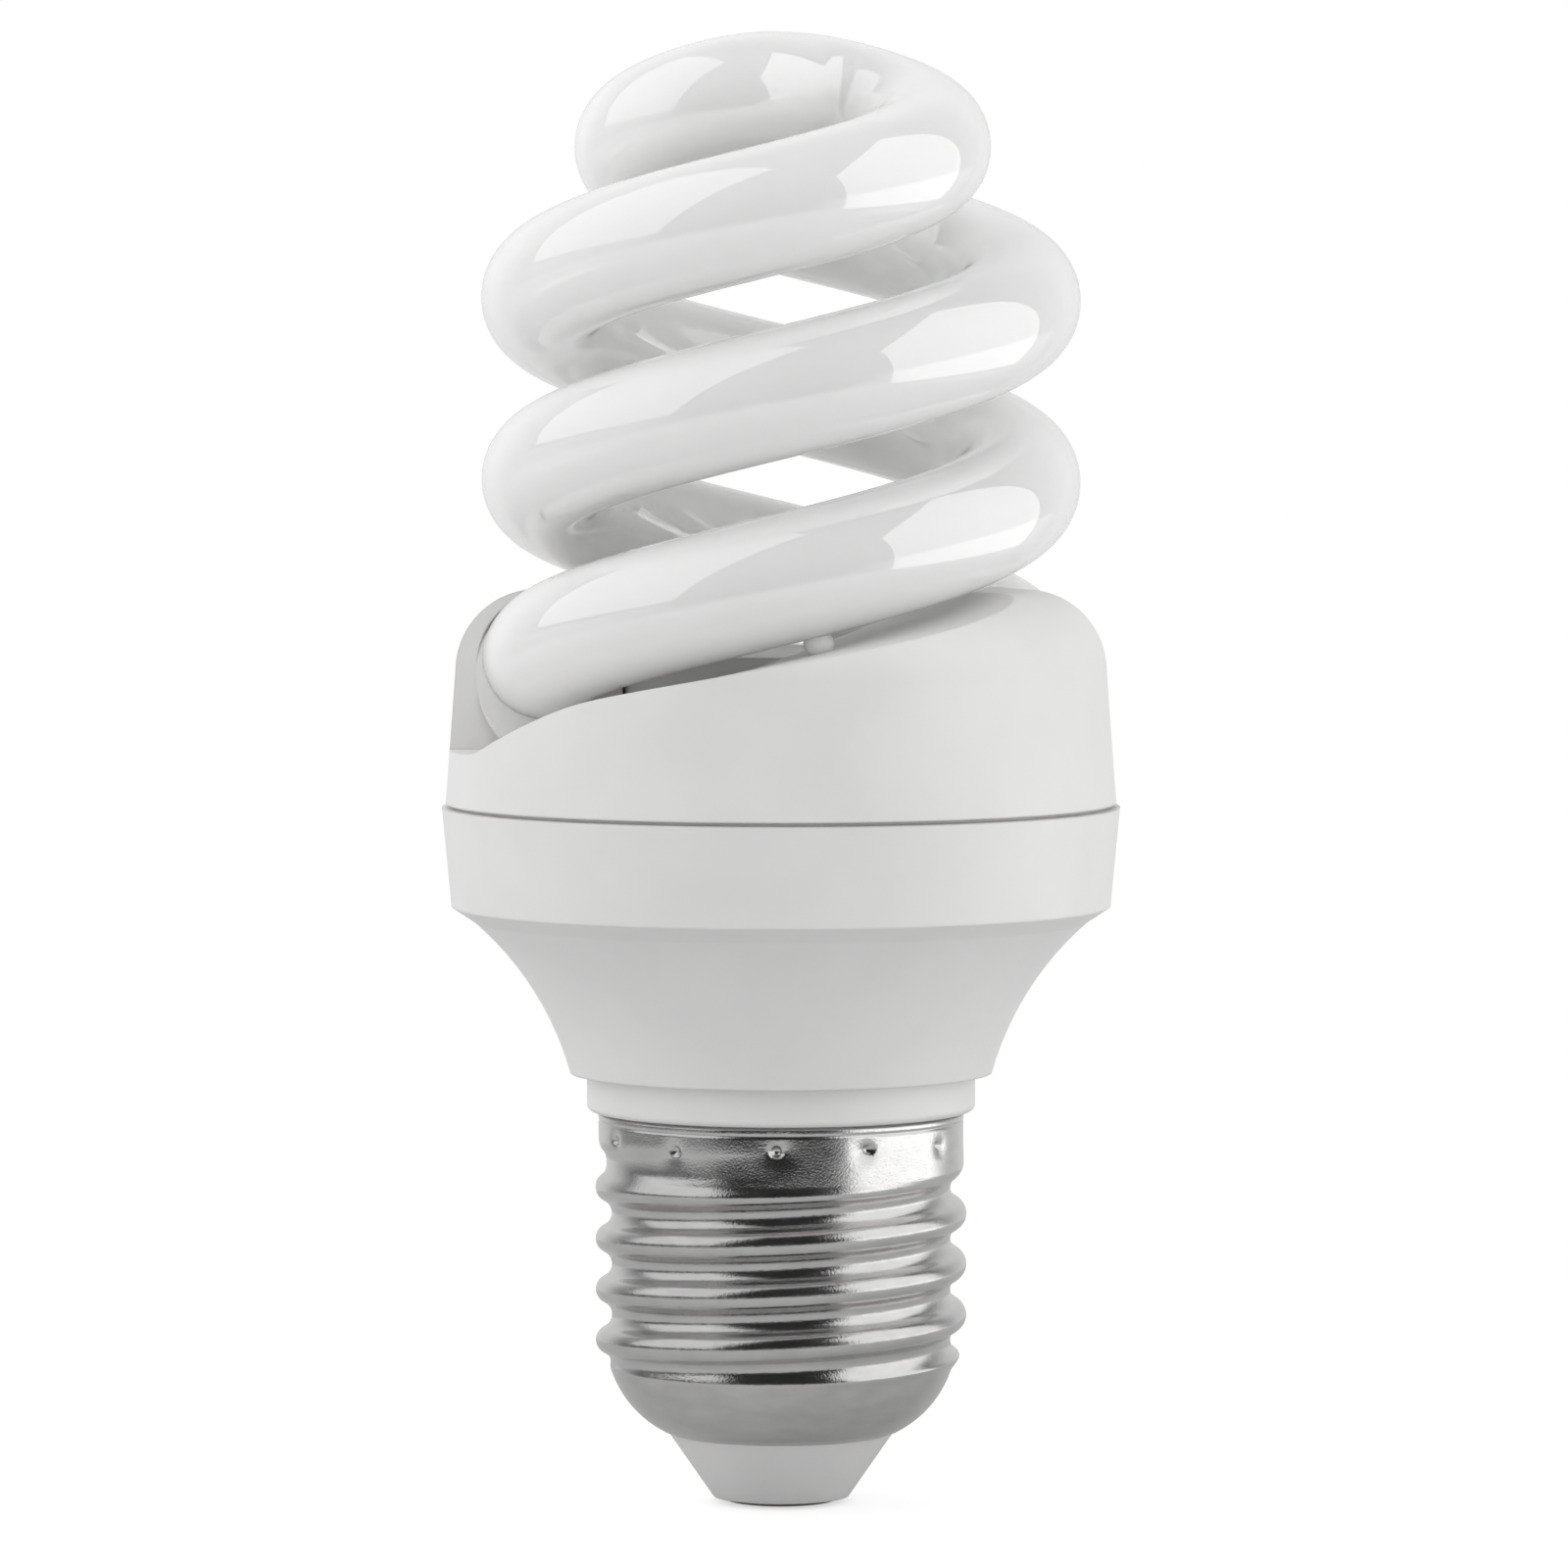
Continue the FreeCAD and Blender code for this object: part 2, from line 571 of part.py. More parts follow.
def upper_housing():
    form = turned_body("cover_form", cover_outline("0"))
    inside = turned_body("cover_inside", cover_outline("plastic_wall"))
    ramps = ramp_space("ramp_space", 0, 0, 0)
    floors = ramp_space("ramp_floors", value("plastic_wall"), value("hub_wall"), value("step_wall_turn"))
    hub = bind(well("hub_well", "0"), Placement__Base__z="seam_height + hub_height")
    hub_floor = bind(well("hub_floor", "hub_wall"), Placement__Base__z="seam_height + hub_height - hub_wall")
    cavity = combine("Cut", "cover_cavity", [inside, combine("MultiFuse", "cover_floors", [floors, hub_floor])])
    entry = value("socket_turn")
    bore = value("tube_diameter / 2 + socket_clearance")
    path = glass_pipe([entry - 6, entry + value("hidden_sweep") + 12], bore)
    bores = plain("socket_bores", Part.Compound([path, half_turn(path)]))
    shell = combine("MultiFuse", "cover_shell", [combine("Cut", "cover_hollow", [form, cavity]), spigot()])
    for name, opening in (("cover_with_ramps", ramps), ("cover_with_well", hub), ("upper_housing", bores)):
        shell = combine("Cut", name, [shell, opening])
    return shell


def socket_seals(housing, tube):
    """Soft seals of the glass in its two sockets, each with a collar that carries the glass from below."""
    seals = []
    entry = value("socket_turn")
    inside = [entry, entry + math.degrees(value("seal_in / coil_radius"))]
    flange = glass_pipe(inside, value("tube_diameter / 2 + seal_flange"))
    middle, out = arm_point(entry), arm_heading(entry) * -1
    inward = Vector(-middle.x, -middle.y, 0).normalize()
    middle += inward * value("seal_inset") - UP * value("seal_drop") - out * value("seal_foot")
    collar = Part.makeCylinder(value("tube_diameter / 2 + seal_lip"), value("seal_foot + seal_out"), middle, out)
    form = left_arm(flange.fuse(collar))
    trim = bind(well("seal_trim", "0"), Placement__Base__z="seam_height")
    for side, shape in (("left", form), ("right", half_turn(form))):
        seal = plain(side + "_seal_form", shape)
        for step, limit in (("_seal_in_housing", housing), ("_seal_on_glass", tube), ("_socket_seal", trim)):
            seal = combine("Cut", side + step, [seal, limit])
        seals.append(seal)
    return seals


# Lower housing: band, hollow flare, collar and the neck inside the screw cap

def lower_housing():
    body = new_body("lower_housing")
    inner = "lower_radius - plastic_wall"
    neck = "skirt_radius - sheet_thickness - seat_clearance"
    tail = "thread_root - sheet_thickness - seat_clearance"
    snap = "seam_height - snap_height"
    revolve(body, "housing_turn", [
        ("lower_radius", "seam_height"),
        (inner, "seam_height"),
        (inner, snap + " + 2 * snap_reach"),
        (inner + " + snap_reach + seat_clearance", snap),
        (inner, snap + " - 2 * snap_reach"),
        (inner, "seam_height - band_depth + plastic_wall"),
        ("flare_x + (flare_top_radius - flare_x) * (1 + plastic_wall / flare_curve)",
         "flare_z + (flare_top - flare_z) * (1 + plastic_wall / flare_curve)", "flare_curve + plastic_wall"),
        ("flare_x - sqrt((flare_curve + plastic_wall) ^ 2 - (flare_foot + plastic_wall - flare_z) ^ 2)",
         "flare_foot + plastic_wall"),
        (tail + " - neck_wall", "collar_foot + plastic_wall"),
        (tail + " - neck_wall", "neck_foot_height"),
        (tail, "neck_foot_height"),
        (tail, "crimp_height + crimp_ball + seat_clearance"),
        (neck, "crimp_height + crimp_ball + seat_clearance"),
        (neck, "collar_foot"),
        ("collar_radius - collar_edge", "collar_foot", "collar_edge * 1.42"),
        ("collar_radius", "collar_foot + collar_edge"),
        ("collar_radius", "flare_foot"),
        ("flare_foot_radius", "flare_foot", "-flare_curve"),
        ("flare_top_radius", "flare_top"),
        ("band_radius", "seam_height - band_depth"),
    ])
    shelf = "seam_height - spigot_depth - seat_clearance - board_thickness"
    rib = revolve(body, "board_rib", [
        (inner + " - rib_reach", shelf),
        (inner + " + plastic_wall / 4", shelf),
        (inner + " + plastic_wall / 4", "seam_height - band_depth + plastic_wall / 2"),
        (inner + " - rib_reach", "flare_top - plastic_wall / 3"),
    ], value("rib_turn"))
    repeat(body, rib, "rib_count")
    notch = new_sketch(body, "wire_notch", "XY_Plane", "neck_foot_height")
    draw_outline(notch, [
        ("-notch_width / 2", tail + " - neck_wall - 1"),
        ("notch_width / 2", tail + " - neck_wall - 1"),
        ("notch_width / 2", tail + " + 1"),
        ("-notch_width / 2", tail + " + 1"),
    ])
    pocket = body.newObject("PartDesign::Pocket", "wire_notch_pocket")
    pocket.Profile = notch
    pocket.Reversed = True
    bind(pocket, Length="notch_height")
    doc.recompute()
    return body


# Screw cap: one rolled sheet with a thread, a plain skirt and a rounded foot

def thread_radius(height, bearing, crest, root):
    """Radius of the rolled thread, which fades out at its top and at its foot."""
    turns = (height - value("thread_phase")) / value("thread_pitch") - (bearing - math.pi) / (2 * math.pi)
    wave = (crest + root) / 2 + (crest - root) / 2 * math.cos(2 * math.pi * turns)
    top = eased((height - value("thread_top") + value("thread_fade")) / value("thread_fade"))
    foot = eased((value("thread_foot") + value("thread_fade") - height) / value("thread_fade"))
    wave += (value("skirt_radius - thread_blend") - wave) * top
    return wave + (value("foot_radius - thread_blend") - wave) * foot


def eased(share):
    """Rises smoothly from 0 to 1."""
    share = min(max(share, 0.0), 1.0)
    return share * share * (3 - 2 * share)


def thread_core(label, inward):
    """Solid whose side is the thread's surface, a sheet's thickness further in."""
    around, along = 12, 33
    bottom, top = value("thread_foot"), value("thread_top")
    step = (top - bottom) / (along - 3)
    round_loss = (2 + math.cos(2 * math.pi / around)) / 3
    wave_loss = (2 + math.cos(2 * math.pi * step / value("thread_pitch"))) / 3
    middle = value("thread_crest + thread_root") / 2
    depth = value("thread_crest - thread_root") / 2 / round_loss / wave_loss
    spans = list(range(along - 2))
    ends = [0] * 3 + spans + [spans[-1]] * 3
    poles = []
    for index in range(around):
        bearing = 2 * math.pi * index / around
        row = []
        for place in range(along):
            height = bottom + step * sum(ends[place + 1:place + 4]) / 3
            radius = thread_radius(height, bearing, middle + depth, middle - depth) - inward
            radius /= round_loss
            row.append(Vector(radius * math.cos(bearing), radius * math.sin(bearing), height))
        poles.append(row)
    surface = Part.BSplineSurface()
    knots = [4] + [1] * (along - 4) + [4]
    surface.buildFromPolesMultsKnots(
        poles, [1] * (around + 1), knots, list(range(around + 1)), spans, True, False, 3, 3)
    side = surface.toShape()
    rings = [edge for edge in side.Edges if edge.BoundBox.ZLength < step / 2]
    discs = [Part.Face(Part.Wire([ring])) for ring in rings]
    core = Part.makeSolid(Part.makeShell([side] + discs))
    core.fix(0.001, 0.001, 0.001)
    return plain(label, core)


def crimp_balls(label, radius):
    """Balls at the crimps, one for each stroke of the crimping tool."""
    count = int(value("crimp_count"))
    copies = []
    reach = value("skirt_radius + crimp_ball - crimp_depth")
    for index in range(count):
        bearing = math.radians(value("crimp_bearing") + 360 * index / count)
        place = Vector(reach * math.cos(bearing), reach * math.sin(bearing), value("crimp_height"))
        copies.append(Part.makeSphere(value(radius), place))
    return plain(label, Part.Compound(copies))


def screw_cap():
    outside = turned_body("cap_outside", [
        ("0", "rim_height"),
        ("rim_radius", "rim_height", "foot_curve"),
        ("foot_radius", "thread_foot + 2 * thread_blend"),
        ("thread_root - thread_fade / 3", "thread_foot + 2 * thread_blend"),
        ("thread_root - thread_fade / 3", "thread_top - 3 * thread_blend"),
        ("skirt_radius", "thread_top - 3 * thread_blend"),
        ("skirt_radius", "skirt_top"),
        ("0", "skirt_top"),
    ])
    inside = turned_body("cap_inside", [
        ("0", "rim_height - sheet_thickness"),
        ("rim_radius - sheet_thickness / 2", "rim_height - sheet_thickness"),
        ("rim_radius - sheet_thickness / 2", "rim_height + sheet_thickness", "foot_curve - sheet_thickness"),
        ("foot_radius - sheet_thickness", "thread_foot + 2 * thread_blend"),
        ("thread_root - thread_fade / 3 - sheet_thickness", "thread_foot + 2 * thread_blend"),
        ("thread_root - thread_fade / 3 - sheet_thickness", "thread_top - 3 * thread_blend"),
        ("skirt_radius - sheet_thickness", "thread_top - 3 * thread_blend"),
        ("skirt_radius - sheet_thickness", "skirt_top + sheet_thickness"),
        ("0", "skirt_top + sheet_thickness"),
    ])
    metal = combine("MultiFuse", "cap_metal", [outside, thread_core("thread_outside", 0)])
    space = combine("MultiFuse", "cap_space", [inside, thread_core("thread_inside", value("sheet_thickness"))])
    shell = combine("Cut", "cap_shell", [metal, space])
    ring = doc.addObject("Part::Cylinder", "crimp_ring")
    bind(ring, Radius="skirt_radius - sheet_thickness / 2", Height="skirt_top - thread_top")
    bind(ring, Placement__Base__z="thread_top")
    bumps = combine("Common", "crimp_bumps", [crimp_balls("crimp_backs", "crimp_ball + sheet_thickness"), ring])
    dented = combine("MultiFuse", "cap_with_bumps", [shell, bumps])
    return combine("Cut", "screw_cap", [dented, crimp_balls("crimp_fronts", "crimp_ball")])


def cap_insulator():
    bore = "rivet_radius + seat_clearance"
    return turned_body("cap_insulator", [
        (bore, "contact_proud"),
        ("insulator_foot_radius", "contact_proud"),
        ("insulator_rim_radius", "rim_height"),
        ("insulator_rim_radius", "rim_height + 1.7 * sheet_thickness"),
        ("insulator_flange", "rim_height + 4.2 * sheet_thickness"),
        ("insulator_flange", "rim_height + 7 * sheet_thickness"),
        ("insulator_flange - flange_width", "rim_height + 7 * sheet_thickness"),
        ("insulator_foot_radius + cup_flare", "contact_proud + insulator_thickness"),
        (bore, "contact_proud + insulator_thickness"),
    ])


def centre_contact():
    head = "contact_proud + insulator_thickness"
    return turned_body("centre_contact", [
        ("0", "0"),
        ("contact_radius - contact_edge", "0", "contact_edge * 1.01"),
        ("contact_radius", "contact_edge"),
        ("contact_radius", "contact_proud"),
        ("rivet_radius", "contact_proud"),
        ("rivet_radius", head),
        ("rivet_head", head),
        ("rivet_head", head + " + rivet_thickness"),
        ("0", head + " + rivet_thickness"),
    ])


# Printed board and what hangs under it, between the housings and in the neck

BOARD_TOP = "(seam_height - spigot_depth - seat_clearance)"
BOARD_FOOT = "(seam_height - spigot_depth - seat_clearance - board_thickness)"

# Middles of the parts on a board of this radius, and the bearing of each one's long side
SAMPLE_RADIUS = 22.06
TRANSISTORS = [(-7.6, -11.8, 0), (-1.6, -13.2, 0)]
DIODES = [(14.6, -5.1, 0), (14.6, -1.7, 0), (14.6, 1.7, 0), (14.6, 5.1, 0)]
FILM_CAPACITORS = [(5.7, -12.6, 0), (8.6, 10.3, 0), (-8.9, 10.2, 0)]
RESISTORS = [(-14.4, 6.2, 0), (15.0, 8.4, 0)]
FUSE_RESISTOR = (-13.4, -6.4, 0)
DIAC = (-8.6, -16.4, 0)
THERMISTOR = (12.6, -9.6, 45)


def on_board(places):
    """Places spread out or drawn in with the board."""
    spread = value("board_radius") / SAMPLE_RADIUS
    return [(x * spread, y * spread, bearing) for x, y, bearing in places]


def placed(thing, x, y, z, bearing=0):
    """Puts an object at a place on the board, at a height given by an expression."""
    thing.Placement = FreeCAD.Placement(Vector(x, y, value(z)), FreeCAD.Rotation(UP, bearing))
    bind(thing, Placement__Base__z=z)
    return thing


def rod(label, radius, length, place, z, bearing=0):
    """Upright round rod on the board."""
    thing = doc.addObject("Part::Cylinder", label)
    bind(thing, Radius=radius, Height=length)
    return placed(thing, place[0], place[1], z, bearing)


def block(label, length, width, height):
    """Box whose middle is on the lamp's axis, with its foot at height 0."""
    thing = doc.addObject("Part::Box", label)
    bind(thing, Length=length, Width=width, Height=height)
    bind(thing, Placement__Base__x="-(%s) / 2" % length, Placement__Base__y="-(%s) / 2" % width)
    return thing


def shifted(place, along):
    """A point at a distance from a part's middle, along its bearing."""
    x, y, bearing = place
    angle = math.radians(bearing)
    return (x + along * math.cos(angle), y + along * math.sin(angle), bearing)


def upright_leads(label, points, foot, radius="lead_radius"):
    """Straight leads from a part up through the board."""
    reach = "%s + lead_past - (%s)" % (BOARD_TOP, foot)
    leads = []
    for index, point in enumerate(points):
        leads.append(rod("%s_%d" % (label, index + 1), radius, reach, point, foot))
    return combine("Compound", label, leads)


def bent_rod(points, radius, bend):
    """Round wire through a few points, bent at each inner one."""
    points = [Vector(*point) for point in points]
    edges = []
    last = points[0]
    for before, corner, after in zip(points, points[1:], points[2:]):
        back = (before - corner).normalize()
        ahead = (after - corner).normalize()
        half = back.getAngle(ahead) / 2
        reach = bend / math.tan(half)
        start, end = corner + back * reach, corner + ahead * reach
        middle = corner + (back + ahead).normalize() * (bend / math.sin(half) - bend)
        edges.append(Part.LineSegment(last, start).toShape())
        edges.append(Part.Arc(start, middle, end).toShape())
        last = end
    edges.append(Part.LineSegment(last, points[-1]).toShape())
    ring = Part.makeCircle(radius, points[0], points[1] - points[0])
    return Part.Wire(edges).makePipe(Part.Face(Part.Wire([ring])))


def lying_part(label, places, radius, length, drop):
    """Round parts that lie under the board, and their bent leads."""
    bodies, leads = [], []
    height = value("%s - %s" % (BOARD_FOOT, drop))
    end = value(BOARD_TOP + " + lead_past")
    for index, place in enumerate(on_board(places)):
        x, y, bearing = place
        body = doc.addObject("Part::Cylinder", "%s_%d" % (label, index + 1))
        bind(body, Radius=radius, Height=length)
        turn = FreeCAD.Rotation(UP, bearing).multiply(FreeCAD.Rotation(Vector(0, 1, 0), 90))
        start = shifted(place, -value(length) / 2)
        body.Placement = FreeCAD.Placement(Vector(start[0], start[1], height), turn)
        bind(body, Placement__Base__z="%s - %s" % (BOARD_FOOT, drop))
        bodies.append(body)
        for way in (-1, 1):
            near = shifted(place, way * value(length) / 2)
            far = shifted(place, way * value("axial_span") / 2)
            points = [(near[0], near[1], height), (far[0], far[1], height), (far[0], far[1], end)]
            leads.append(bent_rod(points, value("lead_radius"), 1.5 * value("lead_radius")))
    return combine("Compound", label, bodies), plain(label.rstrip("s") + "_leads", Part.Compound(leads))


def choke():
    """Choke with two core halves, a bobbin, its winding and four pins."""
    foot = "(%s - stand_off - choke_height)" % BOARD_FOOT
    window = "(choke_height - 2 * choke_yoke)"
    opening = "(choke_width / 2 - choke_limb / 2 - choke_yoke)"
    whole = block("choke_block", "choke_thickness", "choke_width", "choke_height")
    cuts = []
    for side in (-1, 1):
        hole = block("choke_window", "choke_thickness + 2", opening, window)
        bind(hole, Placement__Base__y="%d * (choke_limb + %s) / 2 - %s / 2" % (side, opening, opening))
        bind(hole, Placement__Base__z="choke_yoke")
        cuts.append(hole)
    gap = block("choke_air_gap", "choke_thickness + 2", "choke_width + 2", "choke_gap")
    bind(gap, Placement__Base__z="(choke_height - choke_gap) / 2")
    core = combine("Cut", "choke_core", [whole, combine("MultiFuse", "choke_cuts", cuts + [gap])])

    play = "seat_clearance"
    wide = "(choke_thickness + 2 * bobbin_reach)"
    broad = "(choke_limb + 2 * %s - 2 * %s)" % (opening, play)
    tall = "(%s - 2 * %s)" % (window, play)
    tube_x = "(choke_thickness + 2 * (%s + bobbin_wall))" % play
    tube_y = "(choke_limb + 2 * (%s + bobbin_wall))" % play
    tube = block("bobbin_tube", tube_x, tube_y, tall)
    bind(tube, Placement__Base__z="choke_yoke + " + play)
    plates = []
    for name, lift in (("bobbin_lower_plate", "0"), ("bobbin_upper_plate", tall + " - bobbin_wall")):
        plate = block(name, wide, broad, "bobbin_wall")
        bind(plate, Placement__Base__z="choke_yoke + %s + %s" % (play, lift))
        plates.append(plate)
    hole = block("bobbin_hole", "choke_thickness + 2 * " + play, "choke_limb + 2 * " + play, "choke_height")
    bobbin = combine("Cut", "choke_bobbin", [combine("MultiFuse", "bobbin_form", [tube] + plates), hole])

    coil = block("coil_form", wide + " - bobbin_wall", broad + " - bobbin_wall", tall + " - 2 * bobbin_wall")
    bind(coil, Placement__Base__z="choke_yoke + %s + bobbin_wall" % play)
    rounded = doc.addObject("Part::Fillet", "coil_rounded")
    rounded.Base = coil
    doc.recompute()
    bend = value("bobbin_reach - bobbin_wall")
    upright = []
    for index, edge in enumerate(coil.Shape.Edges, start=1):
        if edge.BoundBox.ZLength > value("choke_yoke"):
            upright.append((index, bend, bend))
    rounded.Edges = upright
    inner = block("coil_hole", tube_x, tube_y, "choke_height")
    winding = combine("Cut", "choke_winding", [rounded, inner])
    for thing in (core, bobbin, winding):
        placed(thing, value("choke_x"), 0, foot)
        bind(thing, Placement__Base__x="choke_x")

    corners = []
    for way in (-1, 1):
        for side in (-1, 1):
            x = value("choke_x + %d * (%s / 2 - 2 * lead_radius)" % (way, wide))
            corners.append((x, side * value("choke_limb"), 0))
    pins = upright_leads("choke_pins", corners, "%s + choke_yoke + %s + %s" % (foot, play, tall))
    return [core, bobbin, winding, pins]


def bulk_capacitor():
    """Electrolytic can with its bung, sleeve and leads; it hangs into the neck."""
    mouth = "%s - stand_off" % BOARD_FOOT
    foot = mouth + " - bulk_length"
    edge = "bulk_bung / 3"
    lip = "bulk_bung / 4"
    can = turned_body("bulk_capacitor", [
        ("0", foot),
        ("bulk_radius - " + edge, foot, edge + " * 1.01"),
        ("bulk_radius", foot + " + " + edge),
        ("bulk_radius", mouth),
        ("bulk_radius - " + lip, mouth),
        ("bulk_radius - " + lip, mouth + " - bulk_bung"),
        ("0", mouth + " - bulk_bung"),
    ])
    bung = turned_body("capacitor_bung", [
        ("0", mouth + " - bulk_bung"),
        ("bulk_radius - " + lip, mouth + " - bulk_bung"),
        ("bulk_radius - " + lip, mouth),
        ("0", mouth),
    ])
    sleeve = turned_body("capacitor_sleeve", [
        ("bulk_radius", foot + " + " + edge),
        ("bulk_radius + bulk_sleeve", foot + " + " + edge),
        ("bulk_radius + bulk_sleeve", mouth + " - bulk_sleeve"),
        ("bulk_radius", mouth + " - bulk_sleeve"),
    ])
    for thing in (can, bung, sleeve):
        bind(thing, Placement__Base__x="bulk_x")
    points = [(value("bulk_x"), way * value("bulk_spacing / 2"), 0) for way in (-1, 1)]
    return [can, bung, sleeve, upright_leads("capacitor_leads", points, mouth)]


def ring_transformer():
    """Ring core with three short windings that drive the transistors."""
    foot = "(%s - stand_off - ring_wire - ring_height)" % BOARD_FOOT
    whole = rod("ring_blank", "ring_radius", "ring_height", (0, 0), "0")
    bore = rod("ring_hole", "ring_bore", "ring_height", (0, 0), "0")
    core = combine("Cut", "ring_core", [whole, bore])
    placed(core, 0, value("ring_y"), foot)
    bind(core, Placement__Base__y="ring_y")
    play = "seat_clearance / 2"
    section = "(ring_radius - ring_bore + 2 * %s)" % play
    loops, ends = [], []
    coils, turns = int(value("ring_coils")), int(value("coil_turns"))
    for index in range(coils * turns):
        group, place = divmod(index, turns)
        bearing = 90 + 360 / coils * group + value("turn_step") * (place - (turns - 1) / 2)
        frame = block("winding_frame", section + " + 2 * ring_wire", "ring_wire", "ring_height + 2 * ring_wire")
        inside = block("winding_inside", section, "2 * ring_wire", "ring_height + 2 * " + play)
        bind(inside, Placement__Base__z="ring_wire - " + play)
        loop = combine("Cut", "winding_turn", [frame, inside])
        reach = value("(ring_radius + ring_bore) / 2")
        x, y, turn = shifted((0, value("ring_y"), bearing), reach)
        placed(loop, x, y, foot + " - ring_wire", bearing)
        loops.append(loop)
        if place in (0, turns - 1):
            ends.append(shifted((0, value("ring_y"), bearing), value("ring_radius + ring_wire / 2")))
    windings = combine("Compound", "ring_windings", loops)
    leads = upright_leads("ring_leads", ends, foot + " + ring_height + ring_wire", "ring_wire / 2")
    return [core, windings, leads]


def transistors():
    top = "(%s - transistor_lift)" % BOARD_FOOT
    cases, legs = [], []
    for place in on_board(TRANSISTORS):
        barrel = rod("transistor_barrel", "transistor_radius", "transistor_height", (0, 0), "0")
        front = block("transistor_front", "2 * transistor_radius", "2 * transistor_radius", "transistor_height")
        bind(front, Placement__Base__y="-transistor_flat")
        case = combine("Common", "transistor_case", [barrel, front])
        placed(case, place[0], place[1], top + " - transistor_height", place[2])
        cases.append(case)
        legs += [shifted(place, way * value("leg_spacing")) for way in (-1, 0, 1)]
    return [combine("Compound", "transistors", cases), upright_leads("transistor_legs", legs, top)]


def film_capacitors():
    top = "(%s - stand_off)" % BOARD_FOOT
    boxes, ends = [], []
    for place in on_board(FILM_CAPACITORS):
        form = block("film_block", "film_length", "film_width", "film_height")
        doc.recompute()
        rounded = doc.addObject("Part::Fillet", "film_body")
        rounded.Base = form
        edge = value("film_round")
        rounded.Edges = [(index + 1, edge, edge) for index in range(len(form.Shape.Edges))]
        placed(rounded, place[0], place[1], top + " - film_height", place[2])
        boxes.append(rounded)
        ends += [shifted(place, way * value("film_spacing / 2")) for way in (-1, 1)]
    return [combine("Compound", "film_capacitors", boxes), upright_leads("film_leads", ends, top)]


def filter_choke():
    """Drum core with its winding, on the mains side of the board."""
    top = "(%s - stand_off)" % BOARD_FOOT
    foot = "(%s - stand_off - drum_height)" % BOARD_FOOT
    core = turned_body("filter_core", [
        ("0", foot),
        ("drum_radius", foot),
        ("drum_radius", foot + " + drum_flange"),
        ("drum_core", foot + " + drum_flange"),
        ("drum_core", top + " - drum_flange"),
        ("drum_radius", top + " - drum_flange"),
        ("drum_radius", top),
        ("0", top),
    ])
    winding = turned_body("filter_winding", [
        ("drum_core", foot + " + drum_flange"),
        ("drum_radius - drum_flange / 3", foot + " + drum_flange"),
        ("drum_radius - drum_flange / 3", top + " - drum_flange"),
        ("drum_core", top + " - drum_flange"),
    ])
    for thing in (core, winding):
        bind(thing, Placement__Base__x="drum_x")
    points = [(value("drum_x"), way * value("drum_radius / 2"), 0) for way in (-1, 1)]
    return [core, winding, upright_leads("filter_leads", points, top)]


def fuse_resistor():
    """Fusible resistor that stands on end in a shrunk sleeve, with one lead bent back up."""
    x, y, bearing = on_board([FUSE_RESISTOR])[0]
    foot = "(%s - stand_off - fuse_length)" % BOARD_FOOT
    case = rod("fuse_resistor", "fuse_radius", "fuse_length", (x, y), foot)
    case.Label = "fuse_resistor"
    outer = rod("sleeve_outside", "fuse_radius + bulk_sleeve", "fuse_length - stand_off", (x, y), foot)
    inner = rod("sleeve_inside", "fuse_radius", "fuse_length", (x, y), foot)
    sleeve = combine("Cut", "fuse_sleeve", [outer, inner])
    low = value(foot)
    end = value(BOARD_TOP + " + lead_past")
    aside = y + value("2 * fuse_radius")
    drop = low - value("fuse_radius")
    wire = bent_rod([(x, y, low), (x, y, drop), (x, aside, drop), (x, aside, end)],
                    value("lead_radius"), value("2 * lead_radius"))
    straight = Part.makeCylinder(value("lead_radius"), end - value(foot + " + fuse_length"),
                                 Vector(x, y, value(foot + " + fuse_length")))
    return [case, sleeve, plain("fuse_leads", Part.Compound([wire, straight]))]


def thermistor():
    middle_place = on_board([THERMISTOR])[0]
    x, y, bearing = middle_place
    middle = "(%s - stand_off - thermistor_radius)" % BOARD_FOOT
    disc = doc.addObject("Part::Cylinder", "thermistor")
    disc.Label = "thermistor"
    bind(disc, Radius="thermistor_radius", Height="thermistor_thickness")
    turn = FreeCAD.Rotation(UP, bearing).multiply(FreeCAD.Rotation(Vector(1, 0, 0), 90))
    start = shifted((x, y, bearing + 90), value("thermistor_thickness / 2"))
    disc.Placement = FreeCAD.Placement(Vector(start[0], start[1], value(middle)), turn)
    bind(disc, Placement__Base__z=middle)
    spread = value("thermistor_radius / 2")
    near = "thermistor_radius / 2 - lead_radius"
    foot = "%s + sqrt(thermistor_radius ^ 2 - (%s) ^ 2)" % (middle, near)
    points = [shifted(middle_place, way * spread) for way in (-1, 1)]
    return [disc, upright_leads("thermistor_leads", points, foot)]


